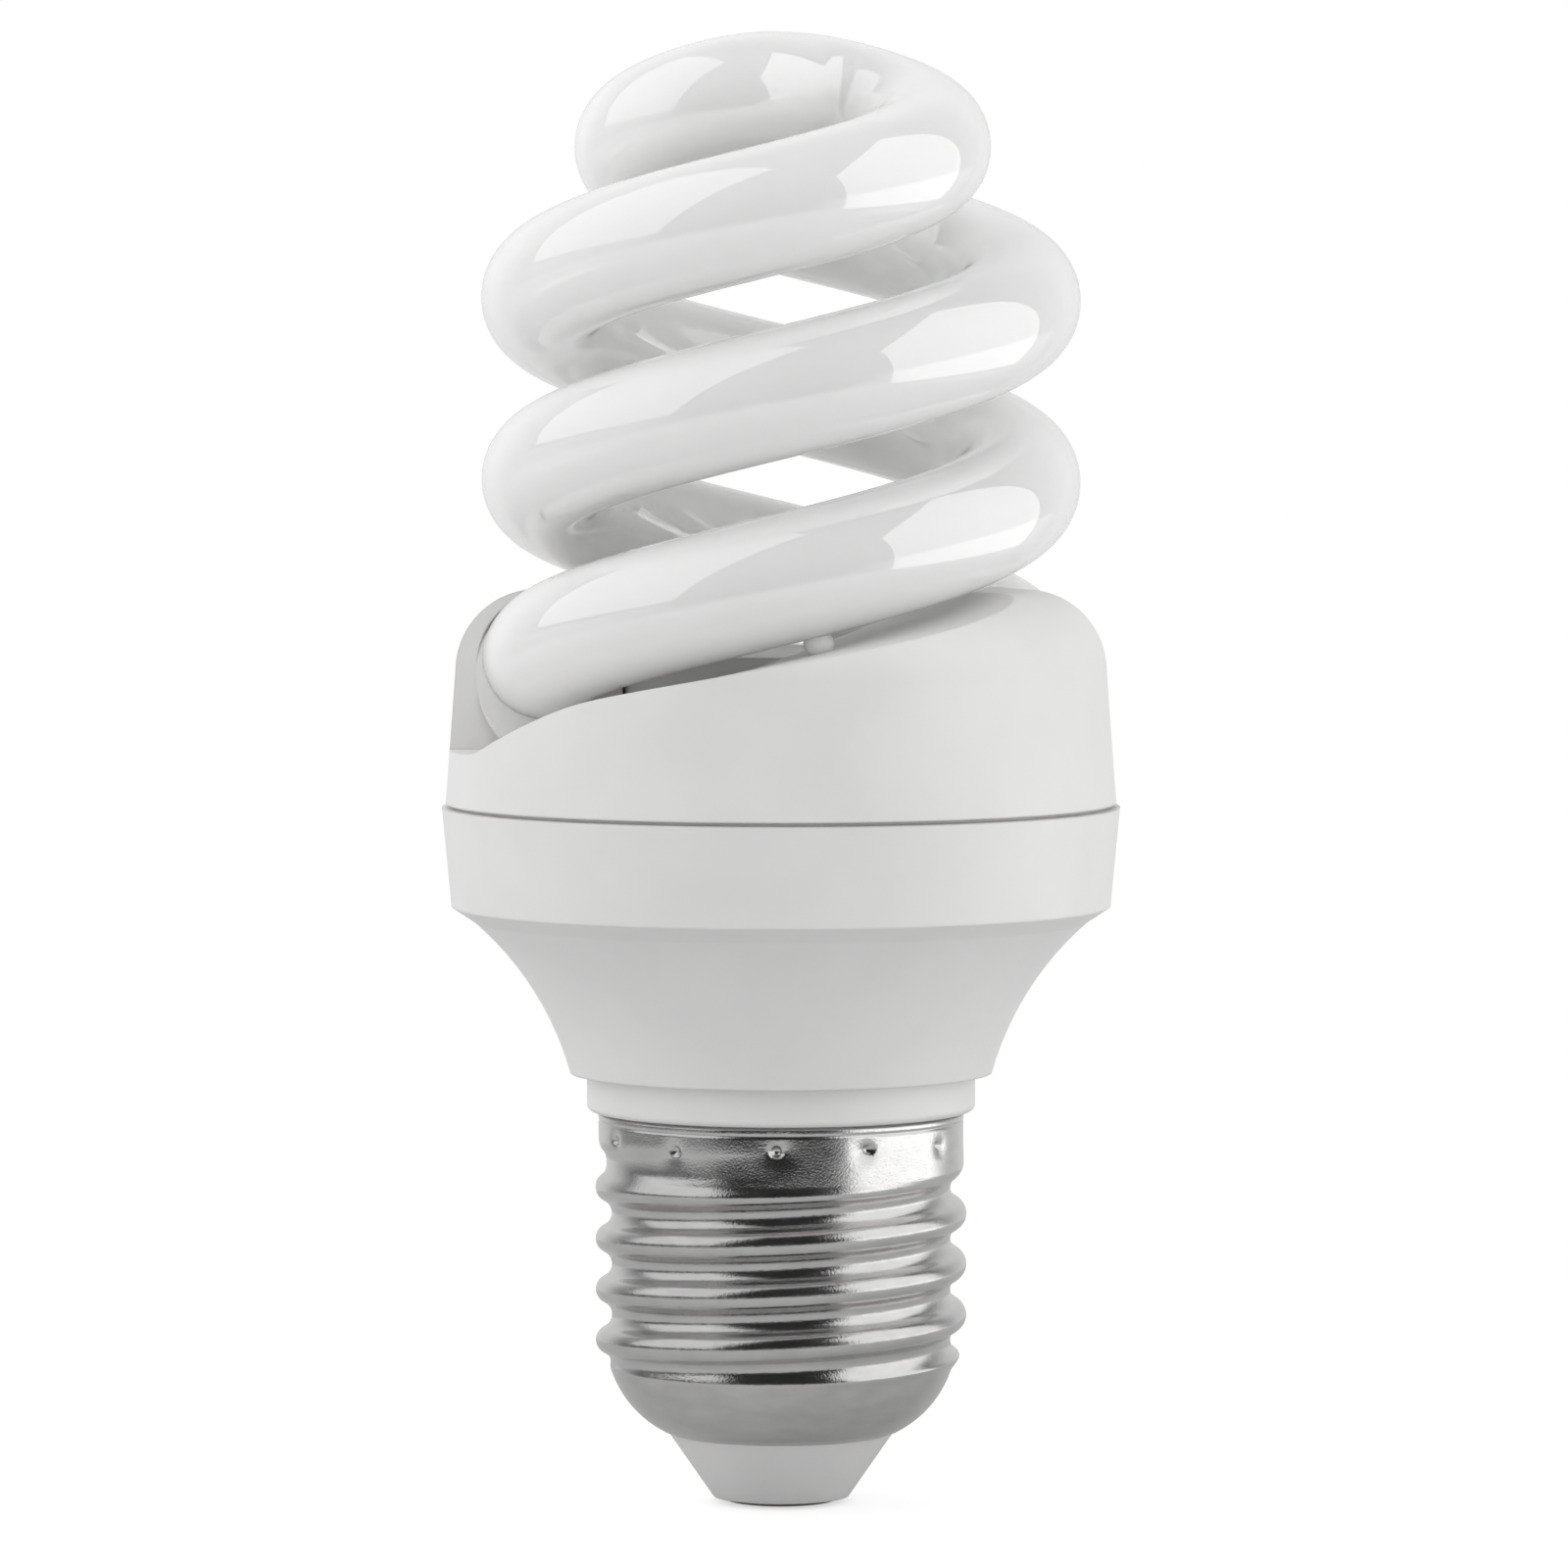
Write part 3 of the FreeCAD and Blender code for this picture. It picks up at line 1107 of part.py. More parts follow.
def tube_connections():
    """Four wrap pins in the board and the leads from the two electrodes to them."""
    pins, leads = [], []
    last = value("socket_turn + hidden_sweep")
    start, heading = arm_point(last), arm_heading(last)
    aside = heading.cross(UP).normalize()
    back = 180 * (1 - int(value("half_turns")) % 2)
    offset = value("electrode_spacing / 2")
    reach = math.sqrt(value("tube_diameter / 2") ** 2 - (offset - value("electrode_radius")) ** 2)
    pin_top = value(BOARD_TOP + " + wrap_pin_height")
    for way, bearing in ((-1, "pin_bearing"), (1, "pin_bearing + pin_turn")):
        for turn in (0, 180):
            pin = block("wrap_pin", "wrap_pin_side", "wrap_pin_side", "wrap_pin_height + board_thickness + lead_past")
            for name, wave in (("Placement__Base__x", "cos"), ("Placement__Base__y", "sin")):
                place = "wrap_pin_radius * %s(%s + %d) - wrap_pin_side / 2" % (wave, bearing, turn)
                bind(pin, **{name: place})
            bind(pin, Placement__Base__z=BOARD_FOOT + " - lead_past")
            pins.append(pin)
        x, y, angle = shifted((0, 0, value(bearing) + back), value("wrap_pin_radius"))
        root = start + aside * (offset * way) + heading * reach
        over = Vector(x, y, pin_top + value("electrode_over"))
        points = [root, root + heading * value("electrode_straight"), over, Vector(x, y, pin_top)]
        lead = bent_rod([tuple(point) for point in points], value("electrode_radius"), value("electrode_bend"))
        leads += [lead, half_turn(lead)]
    return [combine("Compound", "wrap_pins", pins), plain("electrode_leads", Part.Compound(leads))]


def mains_wires():
    """Live wire from the contact's rivet, neutral wire pinched between the neck and the cap."""
    end = value(BOARD_TOP + " + lead_past")
    radius = value("wire_radius")
    rivet = value("contact_proud + insulator_thickness + rivet_thickness")
    side = -value("live_hole")
    live = [(0, 0, rivet), (0, 0, value("live_rise")), (0, side, value("live_entry")), (0, side, end)]
    pinch = value("thread_root - sheet_thickness - wire_radius - seat_clearance")
    loop = value("neck_foot_height - neutral_loop")
    side = value("neutral_hole")
    neutral = [
        (0, side, end),
        (0, side, value("neutral_entry")),
        (0, value("neutral_slack"), loop),
        (0, pinch, loop),
        (0, pinch, value("neck_foot_height + neutral_tuck")),
    ]
    return [
        plain("live_wire", bent_rod(live, radius, value("live_bend"))),
        plain("neutral_wire", bent_rod(neutral, radius, value("neutral_bend"))),
    ]


def glue_dab(housing, tube):
    """Dab of silicone in the gap between the glass and the front ramp."""
    drop = doc.addObject("Part::Ellipsoid", "glue_drop")
    bind(drop, Radius1="ramp_gap * 0.75", Radius2="ramp_gap", Radius3="ramp_gap * 0.9")
    bearing = value("glue_bearing")
    middle = left_arm(Part.Vertex(arm_point(value("socket_turn") - 180 - bearing))).Point
    middle -= UP * value("tube_diameter / 2 + ramp_gap / 2")
    drop.Placement = FreeCAD.Placement(middle, FreeCAD.Rotation(UP, bearing))
    return combine("Cut", "glue_dab", [combine("Cut", "glue_on_ramp", [drop, housing]), tube])


def circuit_board(through):
    """Round board with a hole for every lead, pin and wire that goes through it."""
    body = new_body("board_form")
    sketch = new_sketch(body, "board_outline", "XY_Plane", BOARD_FOOT)
    draw_circle(sketch, "lower_radius - plastic_wall - board_play")
    pad = body.newObject("PartDesign::Pad", "board_pad")
    pad.Profile = sketch
    bind(pad, Length="board_thickness")
    return combine("Cut", "circuit_board", [body, combine("MultiFuse", "board_holes", through)])


def build_lamp():
    tube = spiral_tube()
    cover = upper_housing()
    parts = [tube, cover, lower_housing(), screw_cap(), cap_insulator(), centre_contact()]
    parts += socket_seals(cover, tube) + [glue_dab(cover, tube)]
    electronics = choke() + bulk_capacitor() + ring_transformer() + transistors()
    electronics += lying_part("diodes", DIODES, "diode_radius", "diode_length", "diode_drop")
    electronics += film_capacitors() + filter_choke() + fuse_resistor() + thermistor()
    electronics += lying_part("resistors", RESISTORS, "resistor_radius", "resistor_length", "resistor_drop")
    electronics += lying_part("diac", [DIAC], "resistor_radius", "resistor_length", "resistor_drop")
    electronics += tube_connections() + mains_wires()
    through = [part for part in electronics if part.Label.endswith(("_leads", "_legs", "_pins", "_wire"))]
    through = [part for part in through if part.Label != "electrode_leads"]
    return parts + electronics + [circuit_board(through)]


def faults(parts):
    """Names every object that failed and every part without a sound shape."""
    doc.recompute()
    bad = [item.Name for item in doc.Objects if {"Invalid", "Error"} & set(item.State)]
    return bad + [part.Label for part in parts if part.Shape.isNull() or not part.Shape.isValid()]


PARTS = build_lamp()
problems = faults(PARTS)
if problems:
    raise RuntimeError("failed: " + ", ".join(problems))
os.makedirs("parts", exist_ok=True)
for part in PARTS:
    part.Shape.exportStep("parts/%s.step" % part.Label)
    print(part.Label, len(part.Shape.Solids), round(part.Shape.Volume, 1))
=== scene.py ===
import json
import math

import bpy
import numpy as np
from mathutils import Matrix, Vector


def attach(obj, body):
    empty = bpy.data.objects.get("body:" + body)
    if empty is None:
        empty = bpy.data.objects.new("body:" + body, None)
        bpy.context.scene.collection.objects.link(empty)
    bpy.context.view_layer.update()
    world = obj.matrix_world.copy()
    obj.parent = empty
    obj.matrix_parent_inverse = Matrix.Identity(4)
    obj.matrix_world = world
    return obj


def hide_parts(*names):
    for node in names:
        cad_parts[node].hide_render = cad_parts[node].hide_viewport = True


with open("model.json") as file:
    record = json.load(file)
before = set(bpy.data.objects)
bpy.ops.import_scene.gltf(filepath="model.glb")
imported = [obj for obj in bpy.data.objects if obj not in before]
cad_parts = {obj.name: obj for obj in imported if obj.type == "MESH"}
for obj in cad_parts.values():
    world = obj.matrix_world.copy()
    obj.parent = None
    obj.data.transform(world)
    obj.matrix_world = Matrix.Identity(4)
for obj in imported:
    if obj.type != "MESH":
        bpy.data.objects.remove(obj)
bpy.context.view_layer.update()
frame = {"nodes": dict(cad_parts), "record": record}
MM = 0.001

# Sizes of the glass in millimetres and degrees, the same as the part's own
TUBE_RADIUS = 4.5
LAMP_HEIGHT = 104.3
COIL_RADIUS = 16.7
STRAND_PITCH = 12.9
BRIDGE_BEARING = 48.6
BRIDGE_SWEEP = 182.5
BRIDGE_POWER = 0.75
BRIDGE_EASE = 30.0
HIDDEN_SWEEP = 36.4

# Sizes of the cap in millimetres, the same as the part's own
SHEET = 0.3
THREAD_CREST = 13.2
THREAD_ROOT = 12.05
THREAD_PITCH = 3.629
THREAD_TOP = 25.0
THREAD_FOOT = 9.4
SKIRT_RADIUS = 13.0
SKIRT_TOP = 27.75
FOOT_RADIUS = 12.2
FOOT_CURVE = 7.5
RIM_HEIGHT = 4.9
CRIMP_HEIGHT = 26.1

# Sizes of the cap that follow the photograph more closely than the part does
THREAD_PHASE = 22.35
RUN_OUT_FOOT = 23.2
RUN_OUT_TOP = 25.2
CREST_FADE_TOP = RUN_OUT_FOOT + 0.4
CREST_FADE = 0.9
FOOT_TOP = THREAD_FOOT + 0.2
FOOT_FADE_TOP = THREAD_FOOT + 1.5
FOOT_FADE = 1.6
RIM_RADIUS = 8.15
HEM_DROP = 0.55
HEM_WIDTH = 0.09
HEM_DEPTH = 0.07
TOP_EDGE = 0.12
INNER_EDGE = 0.2
RIM_EDGE = 0.1
CRIMP_BEARINGS = [27.0, 56.1, 88.0, 116.0, 147.6, 178.2, 205.5, 235.1, 268.6, 298.0, 328.7, 358.0]
CRIMP_RADIUS = 0.42
CRIMP_DEPTH = 0.3
CRIMP_REACH = 1.25
CRIMP_SHIFT = 0.12
CRIMP_SPREAD = 0.18
HOLLOW_RADIUS = 1.15
HOLLOW_DEPTH = 0.13
HOLLOW_SHIFT = 0.15
HOLLOW_DROP = 0.1


# Meshes

def add_piece(name, vertices, faces):
    """A smooth mesh piece that rides on the lamp; its points are in millimetres."""
    mesh = bpy.data.meshes.new(name)
    mesh.from_pydata((np.asarray(vertices) * MM).tolist(), [], faces)
    mesh.shade_smooth()
    mesh.update()
    piece = bpy.data.objects.new(name, mesh)
    bpy.context.scene.collection.objects.link(piece)
    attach(piece, "root")
    return piece


def grid_faces(rows, columns, closed_rows=False):
    """Faces of a grid whose columns run round a ring, and its rows too if they are closed."""
    faces = []
    for row in range(rows if closed_rows else rows - 1):
        low, high = row * columns, (row + 1) % rows * columns
        for column in range(columns):
            after = (column + 1) % columns
            faces.append((low + column, low + after, high + after, high + column))
    return faces


# Glass spiral

def arm_points(sweep):
    """Centre line of the glass at sweeps from the top; negative ones lie on the other arm."""
    turn = np.abs(sweep)
    opening = np.sin(np.radians(90 * np.minimum(turn / BRIDGE_SWEEP, 1)))
    radius = np.sign(sweep) * COIL_RADIUS * opening ** BRIDGE_POWER
    fall = STRAND_PITCH / 180 * (np.hypot(turn, BRIDGE_EASE) - BRIDGE_EASE)
    bearing = np.radians(BRIDGE_BEARING - turn)
    height = LAMP_HEIGHT - TUBE_RADIUS - fall
    return np.stack([radius * np.cos(bearing), radius * np.sin(bearing), height], axis=-1)


def unit(vectors):
    return vectors / np.linalg.norm(vectors, axis=-1, keepdims=True)


def glass_spiral():
    """Tube of even thickness along the centre line, with a dome on both ends."""
    around, spacing, dome_rings, samples, step = 88, 0.46, 10, 12001, 0.05
    last = BRIDGE_BEARING + 540 + HIDDEN_SWEEP
    fine = np.linspace(-last, last, samples)
    line = arm_points(fine)
    run = np.concatenate([[0], np.cumsum(np.linalg.norm(np.diff(line, axis=0), axis=1))])
    sweep = np.interp(np.linspace(0, run[-1], int(run[-1] / spacing)), run, fine)
    middle = arm_points(sweep)
    heading = unit(arm_points(sweep + step) - arm_points(sweep - step))
    reach = np.full(len(sweep), TUBE_RADIUS)
    turn = np.linspace(0, math.pi / 2, dome_rings + 1)[1:-1]
    dome = TUBE_RADIUS * np.sin(turn)[:, None]
    dome_reach = TUBE_RADIUS * np.cos(turn)
    first_dome = (middle[0] - heading[0] * dome)[::-1]
    last_dome = middle[-1] + heading[-1] * dome
    middle = np.concatenate([first_dome, middle, last_dome])
    reach = np.concatenate([dome_reach[::-1], reach, dome_reach])
    extra = np.ones((len(turn), 1))
    heading = np.concatenate([heading[0] * extra, heading, heading[-1] * extra])
    aside = unit(np.cross(heading, [0, 0, 1]))
    over = np.cross(aside, heading)
    angle = np.linspace(0, 2 * math.pi, around, endpoint=False)
    ring = aside[:, None] * np.cos(angle)[:, None] + over[:, None] * np.sin(angle)[:, None]
    points = (middle[:, None] + ring * reach[:, None, None]).reshape(-1, 3)
    faces = [face[::-1] for face in grid_faces(len(middle), around)]
    first, end = tuple(range(around)), tuple(range(len(points) - around, len(points)))
    faces += [first, end[::-1]]
    piece = add_piece("glass_spiral", points, faces)
    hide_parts("spiral_tube")
    return piece


# Screw cap of thin rolled sheet

def eased(share):
    """Smooth step from 0 to 1."""
    share = np.clip(share, 0, 1)
    return share * share * (3 - 2 * share)


def foot_outline(height, inward):
    """Radius of the rounded foot at a height, on an arc that lies a distance further in."""
    start = np.array([RIM_RADIUS, RIM_HEIGHT])
    end = np.array([FOOT_RADIUS, FOOT_TOP])
    chord = end - start
    left = np.array([-chord[1], chord[0]]) / np.linalg.norm(chord)
    centre = (start + end) / 2 + left * math.sqrt(FOOT_CURVE ** 2 - chord @ chord / 4)
    radius = FOOT_CURVE - inward
    return centre[0] + np.sqrt(np.maximum(radius ** 2 - (height - centre[1]) ** 2, 0))


def cap_radius(height, bearing, inward):
    """Radius of the cap's skin: crests and grooves of two arcs, each groove with a run-out."""
    turns = (height - THREAD_PHASE) / THREAD_PITCH - (bearing - math.pi) / (2 * math.pi)
    away = np.abs(turns - np.round(turns)) * THREAD_PITCH
    full = THREAD_CREST - THREAD_ROOT
    slope = 2 * math.atan(2 * full / THREAD_PITCH)
    curve = THREAD_PITCH / 4 / math.sin(slope)
    near = np.minimum(away, THREAD_PITCH / 2 - away)
    arc = (curve - np.sqrt(curve ** 2 - near ** 2)) / full
    drop = np.where(away < THREAD_PITCH / 4, arc, 1 - arc)
    groove = height + (np.floor(turns) + 0.5 - turns) * THREAD_PITCH
    depth = full * eased((RUN_OUT_TOP - groove) / (RUN_OUT_TOP - RUN_OUT_FOOT))
    rise = (THREAD_CREST - SKIRT_RADIUS) * eased((CREST_FADE_TOP - height) / CREST_FADE)
    radius = SKIRT_RADIUS + rise - depth * drop - inward
    foot = foot_outline(np.minimum(height, FOOT_TOP), inward)
    return radius + (foot - radius) * eased((FOOT_FADE_TOP - height) / FOOT_FADE)


def crimp_dents(height, bearing):
    """Inward push of the crimps: a dimple in a shallow hollow; the sines make each one differ."""
    push = np.zeros_like(height)
    for index, place in enumerate(CRIMP_BEARINGS):
        across = np.radians((np.degrees(bearing) - place + 180) % 360 - 180) * SKIRT_RADIUS
        lift = height - CRIMP_HEIGHT - CRIMP_SHIFT * math.sin(2.4 * index)
        size = 1 + CRIMP_SPREAD * math.sin(1.7 * index + 0.5)
        dimple = np.hypot(across, lift) / (CRIMP_RADIUS * size)
        beside = across - HOLLOW_SHIFT * math.cos(3.1 * index)
        hollow = np.hypot(beside, lift + HOLLOW_DROP) / (HOLLOW_RADIUS * size)
        push += (CRIMP_DEPTH * size * eased(CRIMP_REACH - dimple)
                 + HOLLOW_DEPTH * np.exp(-2 * hollow ** 2))
    return push


def cap_shell():
    """Both skins of the cap's sheet as one closed mesh, with a hem line and rounded edges."""
    around, foot_rings, thread_rings, skirt_rings = 400, 24, 112, 42
    inner_foot_rings, inner_thread_rings, inner_skirt_rings = 8, 26, 12
    heights = np.concatenate([
        np.linspace(RIM_HEIGHT, THREAD_FOOT, foot_rings, endpoint=False),
        np.linspace(THREAD_FOOT, THREAD_TOP, thread_rings, endpoint=False),
        np.linspace(THREAD_TOP, SKIRT_TOP, skirt_rings),
    ])
    inner_heights = np.concatenate([
        [SKIRT_TOP],
        np.linspace(SKIRT_TOP - INNER_EDGE, THREAD_TOP, inner_skirt_rings, endpoint=False),
        np.linspace(THREAD_TOP, THREAD_FOOT, inner_thread_rings, endpoint=False),
        np.linspace(THREAD_FOOT, RIM_HEIGHT + SHEET, inner_foot_rings),
    ])
    bearing = np.linspace(0, 2 * math.pi, around, endpoint=False)
    rings = []
    for skin, inward in ((heights, 0.0), (inner_heights, SHEET)):
        height, angle = np.meshgrid(skin, bearing, indexing="ij")
        radius = cap_radius(height, angle, inward) - crimp_dents(height, angle)
        if inward == 0:
            hem = SKIRT_TOP - HEM_DROP
            radius -= HEM_DEPTH * np.exp(-((height - hem) / HEM_WIDTH) ** 2)
            radius -= TOP_EDGE * eased((height - SKIRT_TOP + TOP_EDGE) / TOP_EDGE)
            radius -= RIM_EDGE * eased((RIM_HEIGHT + RIM_EDGE - height) / RIM_EDGE)
        rings.append(np.stack([radius * np.cos(angle), radius * np.sin(angle), height], axis=-1))
    points = np.concatenate(rings).reshape(-1, 3)
    faces = grid_faces(len(heights) + len(inner_heights), around, closed_rows=True)
    piece = add_piece("cap_shell", points, faces)
    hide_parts("screw_cap")
    return piece


# Materials

# Nearly all values of Blender's noise lie between these two
NOISE_LOW = 0.3
NOISE_HIGH = 0.7


def new_material(name):
    material = bpy.data.materials.new(name)
    material.use_nodes = True
    tree = material.node_tree
    shader = tree.nodes["Principled BSDF"]
    return material, tree, shader


def add_noise(tree, size, detail=2.0, stretch=(1, 1, 1)):
    """Noise over the object's own coordinates, with grains of a size in millimetres."""
    place = tree.nodes.new("ShaderNodeTexCoord")
    scale = tree.nodes.new("ShaderNodeMapping")
    scale.inputs["Scale"].default_value = [1 / (size * MM * factor) for factor in stretch]
    noise = tree.nodes.new("ShaderNodeTexNoise")
    noise.inputs["Scale"].default_value = 1.0
    noise.inputs["Detail"].default_value = detail
    tree.links.new(place.outputs["Object"], scale.inputs["Vector"])
    tree.links.new(scale.outputs["Vector"], noise.inputs["Vector"])
    return noise


def add_bump(tree, shader, source, height, edge=0.0):
    """Bump of a height in millimetres, and the radius to which sharp edges are softened."""
    bump = tree.nodes.new("ShaderNodeBump")
    bump.inputs["Distance"].default_value = height * MM
    tree.links.new(source.outputs["Fac"], bump.inputs["Height"])
    tree.links.new(bump.outputs["Normal"], shader.inputs["Normal"])
    if edge:
        bevel = tree.nodes.new("ShaderNodeBevel")
        bevel.inputs["Radius"].default_value = edge * MM
        tree.links.new(bevel.outputs["Normal"], bump.inputs["Normal"])


def add_range(tree, source, target, low, high):
    """Spreads a noise over a range of values of a shader's input."""
    spread = tree.nodes.new("ShaderNodeMapRange")
    spread.inputs["From Min"].default_value = NOISE_LOW
    spread.inputs["From Max"].default_value = NOISE_HIGH
    spread.inputs["To Min"].default_value = low
    spread.inputs["To Max"].default_value = high
    tree.links.new(source.outputs["Fac"], spread.inputs["Value"])
    tree.links.new(spread.outputs["Result"], target)


def add_colour(tree, source, target, dark, light):
    """Blends two colours by a noise."""
    ramp = tree.nodes.new("ShaderNodeValToRGB")
    first, second = ramp.color_ramp.elements
    first.position, first.color = NOISE_LOW, (*dark, 1)
    second.position, second.color = NOISE_HIGH, (*light, 1)
    tree.links.new(source.outputs["Fac"], ramp.inputs["Fac"])
    tree.links.new(ramp.outputs["Color"], target)


def finish_of(name, dark, light, rough, metallic=0.0, cloud=6.0, grain=0.2, bump=0.01,
              stretch=(1, 1, 1), edge=0.0):
    """Clouded colour, uneven gloss between the two values of rough, and a fine grain."""
    material, tree, shader = new_material(name)
    shader.inputs["Metallic"].default_value = metallic
    clouds = add_noise(tree, cloud, 3.0)
    add_colour(tree, clouds, shader.inputs["Base Color"], dark, light)
    add_range(tree, clouds, shader.inputs["Roughness"], *rough)
    add_bump(tree, shader, add_noise(tree, grain, 2.0, stretch), bump, edge)
    return material


def phosphor_glass():
    """Glossy glass over a white powder coat."""
    material, tree, shader = new_material("phosphor_glass")
    dark, light = (0.84, 0.84, 0.835), (0.86, 0.86, 0.855)
    clouds = add_noise(tree, 5.0, 4.0)
    add_colour(tree, clouds, shader.inputs["Base Color"], dark, light)
    add_range(tree, clouds, shader.inputs["Roughness"], 0.5, 0.6)
    shader.inputs["Specular IOR Level"].default_value = 0.2
    shader.inputs["Subsurface Weight"].default_value = 0.9
    shader.inputs["Subsurface Radius"].default_value = (1, 1, 1)
    shader.inputs["Subsurface Scale"].default_value = 9 * MM
    shader.inputs["Coat Weight"].default_value = 1.0
    shader.inputs["Coat Roughness"].default_value = 0.0
    shader.inputs["Coat IOR"].default_value = 2.1
    add_bump(tree, shader, add_noise(tree, 0.25, 2.0), 0.004)
    return material


def nickel():
    """Nickel plate on rolled sheet, with a fine pebbled grain."""
    material, tree, shader = new_material("nickel")
    shader.inputs["Metallic"].default_value = 1.0
    dark, light = (0.58, 0.575, 0.57), (0.66, 0.655, 0.65)
    clouds = add_noise(tree, 2.5, 4.0, (1, 1, 0.4))
    add_colour(tree, clouds, shader.inputs["Base Color"], dark, light)
    add_range(tree, clouds, shader.inputs["Roughness"], 0.16, 0.22)
    add_bump(tree, shader, add_noise(tree, 0.14, 2.0), 0.015)
    return material


# Dark and light colour, low and high roughness, and what differs from finish_of's own values
WHITE = ((0.80, 0.795, 0.79), (0.83, 0.825, 0.82))
MOULDED = {"grain": 0.3, "bump": 0.006, "edge": 0.25}
PLAIN_FINISHES = {
    "cover_plastic": (*WHITE, (0.38, 0.46), MOULDED),
    "base_plastic": (*WHITE, (0.38, 0.46), MOULDED),
    "insulator": (*WHITE, (0.4, 0.5), {"grain": 0.25, "bump": 0.008, "edge": 0.2}),
    "contact_metal": (
        (0.5, 0.49, 0.46), (0.62, 0.61, 0.58), (0.3, 0.45), {"metallic": 1.0, "cloud": 1.5}),
    "silicone": ((0.78, 0.78, 0.77), (0.83, 0.83, 0.82), (0.3, 0.4), {"cloud": 2.0}),
    "board_laminate": ((0.42, 0.27, 0.11), (0.5, 0.34, 0.15), (0.4, 0.6), {"cloud": 1.5}),
    "ferrite": ((0.025, 0.025, 0.028), (0.05, 0.05, 0.052), (0.5, 0.65), {"bump": 0.03}),
    "enamelled_wire": (
        (0.45, 0.14, 0.04), (0.6, 0.22, 0.08), (0.2, 0.3),
        {"metallic": 0.8, "cloud": 3.0, "bump": 0.08, "stretch": (8, 8, 1)}),
    "bobbin_plastic": ((0.02, 0.02, 0.02), (0.035, 0.035, 0.035), (0.35, 0.5), {}),
    "can_aluminium": ((0.7, 0.7, 0.71), (0.8, 0.8, 0.81), (0.25, 0.4), {"metallic": 1.0}),
    "bung_rubber": ((0.012, 0.012, 0.012), (0.025, 0.025, 0.025), (0.6, 0.8), {}),
    "sleeve_plastic": ((0.01, 0.014, 0.04), (0.02, 0.025, 0.06), (0.2, 0.3), {}),
    "case_epoxy": ((0.014, 0.014, 0.014), (0.028, 0.028, 0.028), (0.45, 0.6), {}),
    "film_epoxy": ((0.32, 0.03, 0.01), (0.42, 0.05, 0.02), (0.15, 0.25), {}),
    "disc_epoxy": ((0.015, 0.09, 0.03), (0.03, 0.13, 0.05), (0.4, 0.5), {}),
    "resistor_coating": ((0.5, 0.4, 0.22), (0.6, 0.5, 0.3), (0.3, 0.45), {}),
    "diac_glass": ((0.03, 0.08, 0.25), (0.05, 0.12, 0.32), (0.1, 0.2), {}),
    "wire_insulation": ((0.7, 0.7, 0.68), (0.78, 0.78, 0.76), (0.4, 0.5), {}),
    "tinned_wire": (
        (0.6, 0.6, 0.58), (0.72, 0.72, 0.7), (0.25, 0.4), {"metallic": 1.0, "cloud": 1.0}),
}
FINISHES = {
    name: finish_of(name, dark, light, rough, **rest)
    for name, (dark, light, rough, rest) in PLAIN_FINISHES.items()
}
FINISHES["coated_glass"] = phosphor_glass()
FINISHES["cap_metal"] = nickel()


def paint(piece, slot_name):
    piece.data.materials.clear()
    piece.data.materials.append(FINISHES[slot_name])


paint(glass_spiral(), "coated_glass")
paint(cap_shell(), "cap_metal")
for row in frame["record"]["subparts"]:
    paint(frame["nodes"][row["node"]], row["material_slot"])


# Lights, all angles in degrees and lengths in metres

LIT_POINT = Vector((0, 0, 0.06))
LIGHT_DISTANCE = 0.6


def towards(azimuth, elevation):
    """Direction from the lamp; the azimuth counts from the camera's side towards +X."""
    around, up = math.radians(azimuth), math.radians(elevation)
    level = math.cos(up)
    return Vector((math.sin(around) * level, -math.cos(around) * level, math.sin(up)))


def add_light(name, place, back, roll, size, radiance):
    """Softbox in the direction of place, whose back looks in the direction of back."""
    data = bpy.data.lights.new(name, "AREA")
    data.shape = "RECTANGLE"
    data.size, data.size_y = size
    data.energy = radiance * math.pi * size[0] * size[1]
    light = bpy.data.objects.new(name, data)
    light.location = LIT_POINT + towards(*place) * LIGHT_DISTANCE
    light.rotation_euler = towards(*back).to_track_quat("Z", "Y").to_euler()
    light.rotation_euler.rotate_axis("Z", math.radians(roll))
    light.visible_camera = False
    bpy.context.scene.collection.objects.link(light)


add_light("left_softbox", (-84.8, 49.5), (-62.5, 20.7), -1.4, (0.73, 0.94), 0.83)
add_light("right_softbox", (59.5, 24.4), (104.0, 9.5), 7.7, (0.85, 0.95), 1.13)


